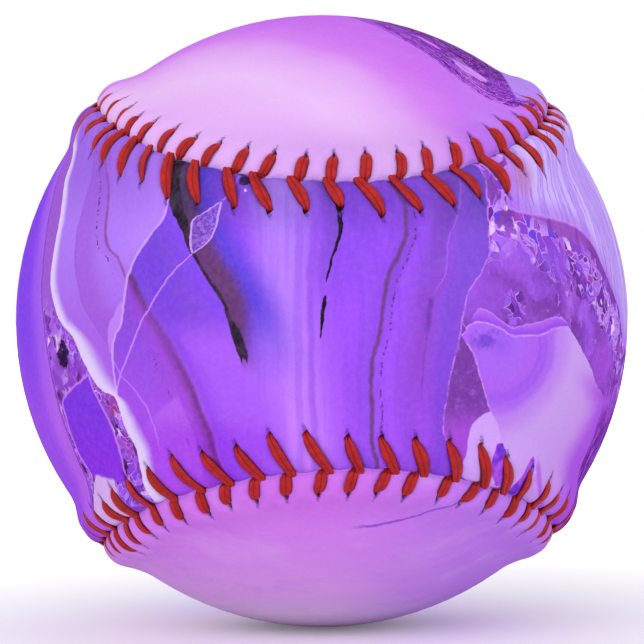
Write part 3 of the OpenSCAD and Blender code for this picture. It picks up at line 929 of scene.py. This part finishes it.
    # Healed cracks and a chip between them
    crack = off((-16, -45), (-11, -43.5), (-5, -40.2), (0, -37.7), (4, -35.2), (9, -31.4), (13, -27.2))
    spur = off((-24, -36), (-16, -37), (-12, -38.5), (-8, -42), (-5, -44))
    crack_mark = band(crack, 0.1, 0.2) * step(lat, -15, -13) * fade(lat, 12.6, 13.2)
    crack_mark = most(crack_mark, band(spur, 0.08, 0.2) * fade(lat, -6, -5) * step(lat, -23, -17) * 0.7)
    colour.coat(crack_mark * 0.9, "#C886FC")
    chip = off((13, -27.3), (15.5, -28), (18, -28.2), (19.6, -26), (21.3, -22.3))
    chip_east = off((13, -27), (16, -23.8), (19, -22.8), (21.3, -22.1))
    chip_span = between(lat, 12.9, 13.2, 21.1, 21.4)
    colour.coat(inside(chip, chip_east) * chip_span * 0.8,
                mix(step(noise(g.ball, 84.0, 4, 0.7), 0.42, 0.62), "#7046C4", "#B074F0"))
    tip_crack = off((20.5, -22.6), (23.6, -20.6), (26.5, -18.8))
    colour.coat(band(tip_crack, 0.08, 0.2) * step(lat, 21.2, 21.8) * 0.5, "#BE8CFA")
    for at, across, size, tone in ((24.9, -17.9, 0.9, OLIVE), (26.6, -18.8, 0.5, OLIVE),
                                   (23.2, -17.5, 0.08, MILK)):
        speck = radius(lat - at, (lon - across, 0.8))
        colour.coat(fade(speck + g.fx * 0.8 - 0.4, size, size + 0.25) * 0.9, tone)
    chip_rim = most(band(chip, 0.1, 0.2), band(chip_east, 0.1, 0.2))
    colour.coat(chip_rim * chip_span, "#CE98FA")

    # Milky slab in the west, brightest along its outer rim
    slab_west = off((-45, -36), (-30, -40.2), (-24.7, -41.6), (-21, -42.7), (-17.3, -43.9), (-12.5, -44.4),
                    (-11.1, -47.3), (-8.3, -50.1), (-6.6, -51.2), (-2.6, -53.6), (2.7, -59.4), (8.5, -62.4),
                    (18.6, -64), (28.7, -70), (38, -75))
    slab_east = off((-16, -45), (-11, -43.6), (-5, -43.8), (1, -41.6), (10, -39.8), (16, -36.5),
                    (23, -33.6), (28, -34.8), (38, -40))
    slab = mix(step(lat, -4, 16), "#AA64EA", "#AE7AF6")
    shade = off((-8, -43), (-4, -44.4), (0, -47.8), (7, -53), (14, -55.4), (30, -57))
    slab.coat(between(shade, -0.15, 0.2, 3, 9) * 0.6, "#9E54D6")
    slab.coat(band(shade, 0.05, 0.35) * 0.5, "#964ECE")
    bend_east = off((7, -39), (8, -40.3), (12, -43), (15, -46.2), (21, -48.3), (28, -51.2), (36, -56))
    slab.coat(between(bend_east, -4, -0.5, -0.1, 0.3) * step(lat, 8, 11) * 0.45, "#A45EE2")
    slab.coat(band(bend_east, 0.06, 0.5) * step(lat, 8, 9) * 0.95, "#924AA6")
    slab.coat(band(bend_east + 2.4, 0.14, 0.2) * step(specks, 0.54, 0.58) * step(lat, 8, 12), "#542C70")
    slab.coat(step(slab_east, -9, -0.5) * step(lat, 8, 16) * 0.35, "#C492FC")
    slab.coat(step(lat, 17, 29) * 0.5, "#9258D6")
    sliver = off((-5, -43.9), (-1, -44.9), (2, -43.6), (5, -41.5))
    slab.coat(step(sliver, -0.2, 0.2) * fade(lat, 4, 5) * 0.55, "#CE96FC")
    rim_glow = width(10, (-40, 3), (-16, 4.0), (-8, 4.6), (0, 3.2), (8, 2.4), (25, 2.2), (40, 3))
    slab.coat(fade(slab_west / rim_glow, 0.3, 1.3), MILK)
    colour.coat(inside(slab_west, slab_east), slab)
    colour.coat(band(slab_east, 0.12, 0.25) * step(slab_west, 0, 0.5) * step(lat, -19, -16) * 0.8,
                "#D6A4FC")
    spill = width(5, (-36, 2.2), (-26, 3.0), (-20, 3.4), (-15, 2.8), (-12, 1.4), (-10.5, 0.4))
    colour.coat(fade(slab_west / spill, 0.35, 1.25) * step(slab_west, -0.1, 0.2) * fade(lat, -11.4, -10.8),
                MILK)

    # Crystals, in the pocket beside the slab and in the broken east
    east = off((-40, 32), (-30, 26), (-24, 20.6), (-20.4, 18.8), (-17, 17.6), (-12.6, 18), (-8.2, 18.5),
               (-1.9, 20), (3.8, 21.5), (9.2, 25), (14.2, 27.4), (21.5, 28), (30, 26.6))
    in_east = step(east, -0.12, 0.12)
    size = 7 + (1 - in_east) * 5.5 + step(lon, 54, 55) * 2
    belt = lat - curve(lon, (0, 90), (-20, 20), (26, 17), (36, 15), (44, 12), (52, 8), (58, 3), (64, -3),
                       (72, -10))
    patch = radius(lat - 4, lon - 32)
    crowd = most(fade(belt.abs(), 2, 8), fade(patch, 1, 5) * 0.7)
    crowd = most(crowd, step(lat, 17, 20) * fade(lon, 35, 37) * 0.75)
    crowd = noise(g.ball, 9.0, 3, 0.6) + (crowd - 0.55) * 0.24 * in_east + (1 - in_east) * 0.08
    glass = g.crystals(size, mix(in_east, "#5C2070", "#7C3AAC"), 0.6, crowd=crowd)
    vein = off((-45, -60), (-29.2, -61.2), (-22.6, -61.3), (-15.9, -61.7), (-11.3, -62), (-3.2, -63.1),
               (4.9, -65), (11.7, -66.3), (21.1, -70), (31.5, -77), (45, -85))
    tint = mix(step(slab_west, -6, -0.5) * fade(lat, -11, -9) * step(lat, -24, -20), "#9842D6", "#AC2E8C")
    cloud = noise(g.ball, 12.0, 3)
    pocket = mix(step(cloud, 0.46, 0.6) * 0.55, glass, tint)
    hollow = radius((lat + 5.2, 0.5), lon + 57.5) + (g.fx - 0.5) * 5
    pocket.coat(fade(hollow, 1.4, 2.0), "#2C0E42")
    pocket.coat(fade(cloud, 0.34, 0.4) * fade(lat, 0, 4), "#3A165C")
    pocket.coat(step(lat, 0, 6), "#A05CD6")
    colour.coat(inside(vein, slab_west) * fade(lat, 36, 40), pocket)
    gem_west = off((-29, -57.5), (-25.5, -59.4), (-20, -60.4), (-13, -60.6))
    gem_east = off((-29, -45.2), (-23.5, -46.6), (-18.3, -47.2), (-13.7, -48.7), (-8, -50.6))
    gem_top = lat - curve(lon, (-70, -40), (-16, -4), (-62, -15), (-60.3, -13.1), (-58.5, -11.9),
                          (-54, -9.7), (-50, -8.2))
    in_gem = inside(gem_west, gem_east) * fade(gem_top, -0.2, 0.2) * step(lat, -28, -27.4)
    gem_edge = most(band(gem_west, 0.1, 0.3), band(gem_east, 0.1, 0.3)) * fade(gem_top, 0, 0.5)
    gem_edge = most(gem_edge, band(gem_top, 0.1, 0.3) * inside(gem_west, gem_east))
    gem_edge = gem_edge * step(lat, -28.5, -27.5)
    colour.coat(in_gem, mix(step(lat, -26, -12), "#8E32E8", "#7E36E4"))
    colour.coat(gem_edge * 0.75, "#D080F4")
    beyond = mix(band(vein + 12, 2, 8), "#9650F3", "#8844F0")
    beyond.coat(step(vein, -7, -1), "#A862F3")
    beyond.coat(step(vein, -1.6, -0.2) * 0.6, "#B86EF0")
    beyond.coat(fade(lat, -20, 0) * 0.85, mix(step(vein, -9, -2), "#A854F2", "#C26AF0"))
    beyond.coat(grain * 0.15, "#6A3AE2")
    beyond.coat(band(vein + 0.4, 0.1, 0.35) * 0.6, "#622696")
    far = g.strata(lon + lat * 0.3, 34.0, 0.3)
    far = g.veins(far, 1.2, 0.004, "#C896FA", 0.6, 1.7)
    beyond = mix(step(vein, -46, -30), far, beyond)
    colour.coat(fade(vein, -0.2, 0.2), beyond)
    white_west = off((-38, -62), (-32, -60), (-27, -56))
    white_east = off((-38, -48), (-32, -48.6), (-27, -49.5))
    colour.coat(inside(white_west, white_east) * fade(lat, -28, -27.2), "#DAB0F0")

    # East: one pale slab with curved bands, a dark pane beside it, and lavender above
    for at, across, reach, tone in ((10.5, 43, 4.5, "#9052E6"), (11.5, 33, 5, "#A65CEA"),
                                    (4.5, 24, 6.5, "#9E54E6"), (11, 25, 5, "#9850E0"),
                                    (-8, 58, 6, "#AA52E4"), (-17, 66, 5, "#AC54E6")):
        from_there = radius(lat - at, (lon - across, 0.7))
        glass.coat(fade(from_there + g.fx * 4 - 2, reach * 0.4, reach) * 0.7, tone)
    rind = noise(join(lon * 2.6, lat * 0.5, 4.0), 0.5, 3, 0.6)
    glass.coat(step(lat - lon * -0.35, 30, 33) * step(lon, 33, 36) * fade(lon, 52, 58) * 0.8,
               mix(grain, "#9E54C4", "#8842B0"))
    in_rind = step(lon, 60, 65) * fade(lon + (g.wy - 0.5) * 16, 74, 80) * fade(lat, -12, -4)
    glass.coat(in_rind * fade(lat, -20, -16) * 0.85, "#701EA2")
    glass.coat(in_rind * step(rind, 0.48, 0.6) * 0.7, "#BE58F2")
    glass.coat(in_rind * band(rind - 0.44, 0.006, 0.016) * 0.9, "#420C68")
    plate_top = curve(lon, (10, 80), (-10, 8), (18, -3.5), (20, -2.3), (24, 0.2), (28, -0.8), (32, -2.2),
                      (37, -2), (43, -1), (48, -1.6), (54, -4))
    plate_west = off((-42, 39), (-34, 34.5), (-26, 32.4), (-21.3, 31), (-19, 30.2), (-15.2, 27.3),
                     (-9.8, 24.7), (-5.8, 22.7), (-2, 20.2))
    plate_east = off((-40, 69), (-32, 66), (-25.4, 62.8), (-19.5, 62.9), (-15.8, 63.2), (-14.2, 61.8),
                     (-10.8, 55.9), (-5.2, 49.6), (-1.9, 46.2))
    down = plate_top - lat
    arc = radius((lon - 28.7, 0.95), lat + 3.5) + (g.wy - 0.5) * 3
    plate = ramp(arc / 40, [(0.0, "#A05EF3"), (0.1, "#AE68F6"), (0.2, "#B064F5"), (0.235, "#A85EF2"),
                            (0.27, "#AE66F3"), (0.3, "#B670F6"), (0.34, "#C288F4"), (0.46, "#CEA2F3"),
                            (0.8, "#CC98F0"), (1.0, "#BE76EE")])
    ripples = g.math("SINE", arc * 4.2 + g.wx * 4) * 0.5 + 0.5
    plate.coat(step(ripples, 0.4, 1.0) * step(arc, 7.6, 9) * fade(arc, 11, 13) * step(lon, 27, 35) * 0.28,
               "#8A48E8")
    smudge = radius((lon - 25, 0.5), lat + 3) + g.fx * 5 - 2.5
    plate.coat(fade(smudge, 0.6, 2.6) * 0.75, "#683CCC")
    plate.coat(step(plate_east - step(lat, -26, -16) * 3, -13, -4) * fade(lat, -14, -8) * 0.9, "#B052EA")
    pane = mix(step(noise(g.ball, 34.0, 4, 0.7), 0.52, 0.7) * 0.8, "#7A3CA6", "#A45ADE")
    pane.coat(fade(lat, -20, -13), "#A84ADA")
    glass.coat(fade(plate_west, -0.1, 0.1) * fade(lat, -3, -2), pane)
    nail = fade(radius(lon - 28.2, (lat + 23, 0.62)), 5.8, 6.1) * fade(plate_west, -0.2, 0.1)
    glass.coat(nail, "#D2A4FA")
    frost_tall = curve(lon, (18, 50), (0, 4), (22, 0.3), (25, 2.2), (30, 1.3), (36, 2.2), (42, 1.8),
                       (46, 0.2))
    frost = down + frost_tall + (g.fx - 0.5) * 0.8
    frost_span = step(frost, -0.1, 0.1) * fade(down, -0.1, 0.1) * step(lon, 22, 23) * fade(lon, 45, 46)
    glass.coat(frost_span, mix(step(down, -2.2, 0), "#B864F0", "#964CEE"))
    glass.coat(band(frost, 0.04, 0.2) * step(lon, 22, 23) * fade(lon, 44, 46) * 0.7, "#CE88F8")
    glass.coat(inside(plate_west, plate_east) * step(down, -0.15, 0.15), plate)
    plate_rim = most(band(plate_west, 0.06, 0.2) * fade(lat, -4, -3),
                     band(down, 0.06, 0.24) * inside(plate_west, plate_east))
    glass.coat(plate_rim * (step(g.fx, 0.3, 0.6) * 0.5 + 0.35), "#DA96FA")
    sky_height = lat - curve(lon, (20, 100), (-10, 30), (26, 27), (30, 26), (32, 21.5), (34, 20), (41, 19),
                             (48, 18), (56, 14), (60, 9), (66, 2), (72, -5), (90, -8))
    streaks = noise(join(lon, lat * 0.04, 3.0), 0.45, 4, 0.65)
    sky = mix(step(streaks, 0.36, 0.6), "#BE94FB", "#D2B8FD")
    sky = mix(step(lon, 28, 42), "#B468E8", sky)
    sky.coat(band(streaks - 0.5, 0.004, 0.02) * 0.6, "#8454DE")
    sky.coat(fade(sky_height, 0.5, 5) * 0.6, "#AA6CF2")
    sky.coat(step(lon, 74, 92), far)
    neck = off((18, 31), (20.9, 32.6), (24.8, 33.5), (28.7, 34.8), (34, 36))
    blush = radius(lat - 26, (lon - 38, 1.4))
    sky.coat(fade(blush, 1, 5) * 0.7, "#BE74BA")
    glass.coat(step(sky_height, -0.15, 0.15) * step(neck, -0.15, 0.15), sky)
    sky_edge = most(band(sky_height, 0.1, 0.35) * step(neck, 0, 0.5),
                    band(neck, 0.1, 0.3) * step(sky_height, -0.1, 0.4))
    glass.coat(sky_edge * fade(lon, 60, 66) * 0.6, "#D082F8")
    wedge = off((-38, 56), (-34, 49), (-30, 43.8), (-24, 40.6))
    glass.coat(band(wedge, 0.15, 0.9) * step(lat, -37, -35) * fade(lat, -27, -24) * 0.7, "#B04EE6")
    for at, across, half, lean in ((-25.1, 31.3, 3.6, 0.25), (-28.3, 38.5, 3.7, -0.3)):
        side_by = (lon - across) * 0.9 + (lat - at) * lean
        bit = radius((side_by, 3.2), (lat - at, 0.8)) + g.fx * 1.6 - 0.8
        bit_colour = mix(step(noise(g.ball, 26.0, 2), 0.4, 0.6), "#7630D6", "#B250EC")
        glass.coat(fade(bit, half - 0.1, half), bit_colour)
        glass.coat(band(bit - half, 0.1, 0.25) * 0.7, "#E2A0FC")
    far_west = off((-45, 82), (-34, 86), (-26, 80), (-18, 88), (-10, 84), (-2, 92), (6, 88))
    below_sky = fade(sky_height, -0.15, 0.15)
    glass.coat(step(far_west, -0.15, 0.15) * below_sky, far)
    glass.coat(band(far_west, 0.1, 0.35) * below_sky * 0.8, "#DAA8FA")
    colour.coat(in_east, glass)
    colour.coat(band(east, 0.05, 0.22) * step(g.fx, 0.3, 0.6) * 0.75, "#D086F8")
    return g.cover(colour)


def back_print():
    """The back panel's print: its two round ends, the caps at the top and bottom, and its waist behind."""
    g = Print("back_agate_print")
    x, y, z, wx, fx, noise, join = g.x, g.y, g.z, g.wx - 0.5, g.fx - 0.5, g.noise, g.join
    mix, step, fade, band, radius = g.mix, g.step, g.fade, g.band, g.radius

    # Caps, as one looks along the pole: x is east and y is away
    spread = x * 0.55 + y * 0.835 + wx * 0.08
    north = g.ramp((spread + 0.8) / 1.1, [(0.05, "#E4B2F6"), (0.14, "#EABFF6"), (0.21, "#E6B4F6"),
                                          (0.28, "#DFA0F4"), (0.34, "#D584F2"), (0.41, "#CF76F2"),
                                          (0.5, "#CB71F2"), (0.6, "#C86CF2"), (1.0, "#BE64F2")], "LINEAR")
    folds = noise(g.vector("MULTIPLY", g.ball, (1.2, 3.0, 2.4)), 3.2, 3, 0.55)
    north.coat(step(x, 0.28, 0.5) * 0.7, "#C17EF4")
    # Painted shade: the cap darkens towards the seam along its lower edge
    north.coat(fade(z, 0.5, 0.68) * step(x, -0.55, 0.2) * 0.65, "#E2D1F2", "MULTIPLY")
    north.coat(step(folds, 0.5, 0.8) * 0.2, "#D8ACFC")
    glass = g.crystals(9.0, "#542484", 0.5, (1.2, 1.2, 1.2))
    rim = g.curve(x, (-0.2, 0.8), (-0.6, 0.4), (-0.15, 0.3), (0.0, 0.0), (0.1, -0.2), (0.16, -0.3),
                  (0.22, -0.37), (0.3, -0.445), (0.37, -0.503), (0.44, -0.535), (0.52, -0.53),
                  (0.6, -0.495), (0.7, -0.44))
    past = y - wx * 0.05 - fx * 0.02 - rim
    threads = noise(join(x * 0.3 + y * 0.2, past * 3.0, 1.0), 34.0, 3, 0.6)
    glass.coat(0.7, "#7008A4")
    strip = mix(step(threads, 0.42, 0.58), "#6210A0", "#AC3CE8")
    strip.coat(band(threads - 0.47, 0.006, 0.02), "#4A0E70")
    strip.coat(band(threads - 0.56, 0.008, 0.018) * 0.9, "#E89CFC")
    strip.coat(band(threads - 0.42, 0.004, 0.012) * 0.7, "#E282F8")
    glass.coat(fade(past, 0.045, 0.085) * 0.95, strip)
    window = radius((x - 0.45, 0.24), past - 0.115)
    glass.coat(fade(window + fx * 0.02, 0.024, 0.03),
               mix(step(threads, 0.44, 0.6) * 0.7, "#E09CF8", "#BA68EE"))
    glass.coat(step(past, 0.16, 0.2) * 0.75, "#560A7A")
    glints = noise(join(x * 1.4 + y * 0.8, past * 2.2, 5.0), 26.0, 3, 0.6)
    glass.coat(step(glints, 0.56, 0.66) * 0.75, "#A83EE2")
    glass.coat(band(glints - 0.55, 0.006, 0.016) * 0.85, "#DC82F6")
    twin = radius((x - 0.33, 0.3), past - 0.15)
    glass.coat(fade(twin + fx * 0.03, 0.014, 0.02), "#D678E2")
    glass.coat(step(x, 0.572, 0.584) * step(past, 0.06, 0.075), "#BA8AF6")
    # The waist behind: the same stone's bands, healed cracks and crystal pockets
    waist = g.strata(z * 46 + x * 30, 26.0, 0.55)
    pocket = noise(g.ball, 2.6, 2, 0.4)
    waist.coat(step(pocket, 0.63, 0.634), g.crystals(8.0, "#602896", 0.5, (1.4, 1.4, 0.7)))
    waist.coat(band(pocket - 0.63, 0.003, 0.006) * 0.85, "#DEB0FA")
    waist = g.veins(waist, 1.3, 0.004, "#C896FA", 0.6, 3.3)
    glass.coat(step(past, 0.36, 0.366), waist)
    glass.coat(band(past - 0.36, 0.004, 0.008) * 0.8, "#DEB0FA")
    north.coat(step(past, -0.004, 0.004), glass)
    north.coat(band(past, 0.003, 0.008) * 0.8, "#CE74F6")
    south = g.ramp(z * -1, [(0.5, "#D476EE"), (0.62, "#D684F0"), (0.74, "#DA96F0"), (0.86, "#E4B0F2"),
                            (0.92, "#EACEF6"), (1.0, "#E2BEF4")], "LINEAR")
    south.coat(step(x, -0.1, 0.5) * 0.8, "#BC7EF0")
    drift = noise(g.vector("MULTIPLY", g.ball, (1.0, 1.6, 4.5)), 3.4, 4, 0.6)
    south.coat(step(drift, 0.5, 0.75) * 0.3, "#C86CF0")
    south.coat(step(folds, 0.5, 0.75) * 0.25, "#E4B8F4")
    scar = g.curve(g.lon, (-60, 90), (-60, -20), (-10, -44), (0, -38.5), (10, -37.2), (20, -33.5),
                   (28, -30), (40, -22))
    south.coat(band(g.lat - scar, 0.1, 0.35) * step(g.lon, 0, 6) * fade(g.lon, 34, 40) * 0.8, "#8242D6")
    caps = mix(step(z, -0.05, 0.05), south, north)
    border = y - 0.46 - wx * 0.5 - fx * 0.03
    colour = mix(step(border, -0.004, 0.004), caps, waist)
    return g.cover(mix(band(border, 0.006, 0.012) * 0.8, colour, "#DEB0FA"))


def thread_material():
    g = Graph("waxed_red_thread")
    low, inner, _ = g.split(g.attribute("marks"))
    strand = Val(g, g.node("ShaderNodeUVMap", uv_map="strand").outputs[0])
    run, around, _ = g.split(strand)
    twist = g.math("SINE", (run * 0.55 + around) * (2 * math.pi)) * 0.5 + 0.5
    fibre = g.noise(g.join(run * 1.3, around * 9, 0.0), 2.6, 3, 0.6)
    tone = g.noise(g.place, 900.0, 3, 0.6)
    colour = g.mix(g.step(tone, 0.3, 0.75), "#A4141A", "#BE1F1E")
    colour.coat(g.step(fibre, 0.5, 0.8) * 0.35, "#D23C30")
    colour.coat(g.step(twist, 0.55, 1.0) * 0.25, "#881016")
    # Painted shade: the strands darken on their underside and where they face each other
    colour.coat(g.step(low, 0.1, 0.48) * 0.85, "#700A18")
    colour.coat(g.step(inner, 0.6, 0.95) * 0.6, "#680A12")
    g.bump(twist * 0.7 + fibre * 0.5, 0.35, 0.00012)
    return g.finish(Base_Color=colour, Roughness=0.46, Specular_IOR_Level=0.22)


def inner_materials():
    """Finishes of the CAD solids that the cover hides: moulded cork and rubber, wound yarn and latex."""
    cork = Graph("moulded_cork_rubber")
    grains = cork.split(cork.cells(cork.place, 700.0, out="Color"))[0]
    base = cork.ramp(grains, [(0.0, "#603A22"), (0.4, "#A47046"), (0.75, "#C49666"), (1.0, "#3C2C24")],
                     "LINEAR")
    cork.bump(cork.cells(cork.place, 700.0), 0.5, 0.0004)
    yield "core", cork.finish(Base_Color=base, Roughness=0.85)
    yarn = Graph("wound_yarn")
    x, y, z = yarn.split(yarn.place)
    strands = []
    for a, b, c in ((0.9, 0.3, 0.2), (-0.2, 0.8, 0.5), (0.3, -0.4, 0.85)):
        way = x * a + y * b + z * c
        strands.append(yarn.math("SINE", way * 5200.0) * 0.5 + 0.5)
    patches = yarn.cells(yarn.place, 60.0, out="Color")
    px, py, _ = yarn.split(patches)
    pick = yarn.mix(yarn.step(px, 0.33, 0.34), strands[0],
                    yarn.mix(yarn.step(py, 0.5, 0.51), strands[1], strands[2]))
    lay = yarn.split(pick)[0]
    yarn.bump(lay, 0.8, 0.0005)
    base = yarn.mix(lay, "#B0A694", "#ECE6D6")
    yield "yarn_winding", yarn.finish(Base_Color=base, Roughness=0.9)
    latex = Graph("latex_cement")
    cloud = latex.noise(latex.place, 120.0, 4, 0.6)
    latex.bump(cloud, 0.5, 0.0006)
    base = latex.mix(latex.step(cloud, 0.3, 0.7), "#DECCA0", "#EEE2BE")
    yield "latex_coat", latex.finish(Base_Color=base, Roughness=0.4)


front_panel.data.materials.append(front_print())
back_panel.data.materials.append(back_print())
red = thread_material()
thread_one.data.materials.append(red)
thread_two.data.materials.append(red)
for node, material in inner_materials():
    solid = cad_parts[node]
    if not solid.material_slots:
        solid.data.materials.append(None)
    for holder in solid.material_slots:
        holder.link = "OBJECT"
        holder.material = material

for piece, node, slot in (
    (front_panel, "front_cover_panel", "printed_cover"),
    (back_panel, "back_cover_panel", "printed_cover"),
    (thread_one, "first_needle_thread", "waxed_thread"),
    (thread_two, "second_needle_thread", "waxed_thread"),
):
    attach(piece, "root")
    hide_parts(node)


# Stage, light and camera, in metres
FLOOR_HALF = 3.0
FADE_FROM, FADE_TO = 0.06, 0.3
PAPER_TONE, PAPER_ROUGH = 0.95, 0.9
PAPER_GLOW, PAPER_GLOW_GAIN = 0.12, 0.8
STUDIO_LIGHT = 0.86
# Each lamp's name, place, width and power in watts
LAMPS = (("key", (-0.4, -1.1, 0.55), 0.9, 2.6), ("fill", (0.25, -1.0, 0.02), 0.5, 1.2))
CLIP_START = 0.01


def seen_rays(tree):
    """1 for rays that look at a thing, straight, mirrored or through glass, and 0 for those that light it."""
    kinds = tree.nodes.new("ShaderNodeLightPath").outputs
    seen_ray = kinds["Is Camera Ray"]
    for kind in ("Is Glossy Ray", "Is Transmission Ray"):
        either = tree.nodes.new("ShaderNodeMath")
        either.operation = "MAXIMUM"
        tree.links.new(seen_ray, either.inputs[0])
        tree.links.new(kinds[kind], either.inputs[1])
        seen_ray = either.outputs[0]
    return seen_ray


sheet = bpy.data.meshes.new("floor")
corners = [(FLOOR_HALF * a, FLOOR_HALF * b, -BALL_R * MM) for a, b in ((-1, -1), (1, -1), (1, 1), (-1, 1))]
sheet.from_pydata(corners, [], [(0, 1, 2, 3)])
floor = add_object("floor", sheet)
paper = Graph("floor_paper")
looked_at = Val(paper, seen_rays(paper.tree))
far_off = paper.step(paper.vector("LENGTH", paper.place), FADE_FROM, FADE_TO)
floor.data.materials.append(paper.finish(
    Base_Color=(PAPER_TONE, PAPER_TONE, PAPER_TONE, 1), Roughness=PAPER_ROUGH, Specular_IOR_Level=0.0,
    Emission_Color=(1, 1, 1, 1), Emission_Strength=looked_at * (far_off * PAPER_GLOW_GAIN + PAPER_GLOW)))

scene = bpy.context.scene
scene.view_settings.view_transform = "Standard"
world = bpy.data.worlds.new("studio")
scene.world = world
world.use_nodes = True
tree = world.node_tree
looked_at = seen_rays(tree)
level = tree.nodes.new("ShaderNodeMapRange")
level.inputs["To Min"].default_value = STUDIO_LIGHT
tree.links.new(looked_at, level.inputs["Value"])
background = tree.nodes["Background"]
background.inputs["Color"].default_value = (1, 1, 1, 1)
tree.links.new(level.outputs[0], background.inputs["Strength"])

for name, at, size, power in LAMPS:
    lamp = bpy.data.lights.new(name, "AREA")
    lamp.shape = "DISK"
    lamp.size = size
    lamp.energy = power
    lamp_object = add_object(name, lamp)
    lamp_object.location = at
    lamp_object.rotation_euler = (-Vector(at)).to_track_quat("-Z", "Y").to_euler()

camera_data = bpy.data.cameras.new("camera")
camera = add_object("camera", camera_data)
back_way = unit(CAM_FROM)
side_way = unit(CAM_RIGHT - (CAM_RIGHT @ back_way) * back_way)
up_way = np.cross(back_way, side_way)
turn = Matrix((side_way, up_way, back_way)).transposed().to_4x4()
camera.matrix_world = Matrix.Translation(Vector(back_way * CAM_R * MM)) @ turn
camera_data.sensor_width = SENSOR
camera_data.lens = FOCAL_PX * SENSOR / FRAME_PX
camera_data.shift_x = (FRAME_PX / 2 - BALL_PX) / FRAME_PX
camera_data.shift_y = (BALL_PY - FRAME_PX / 2) / FRAME_PX
camera_data.clip_start = CLIP_START
scene.camera = camera
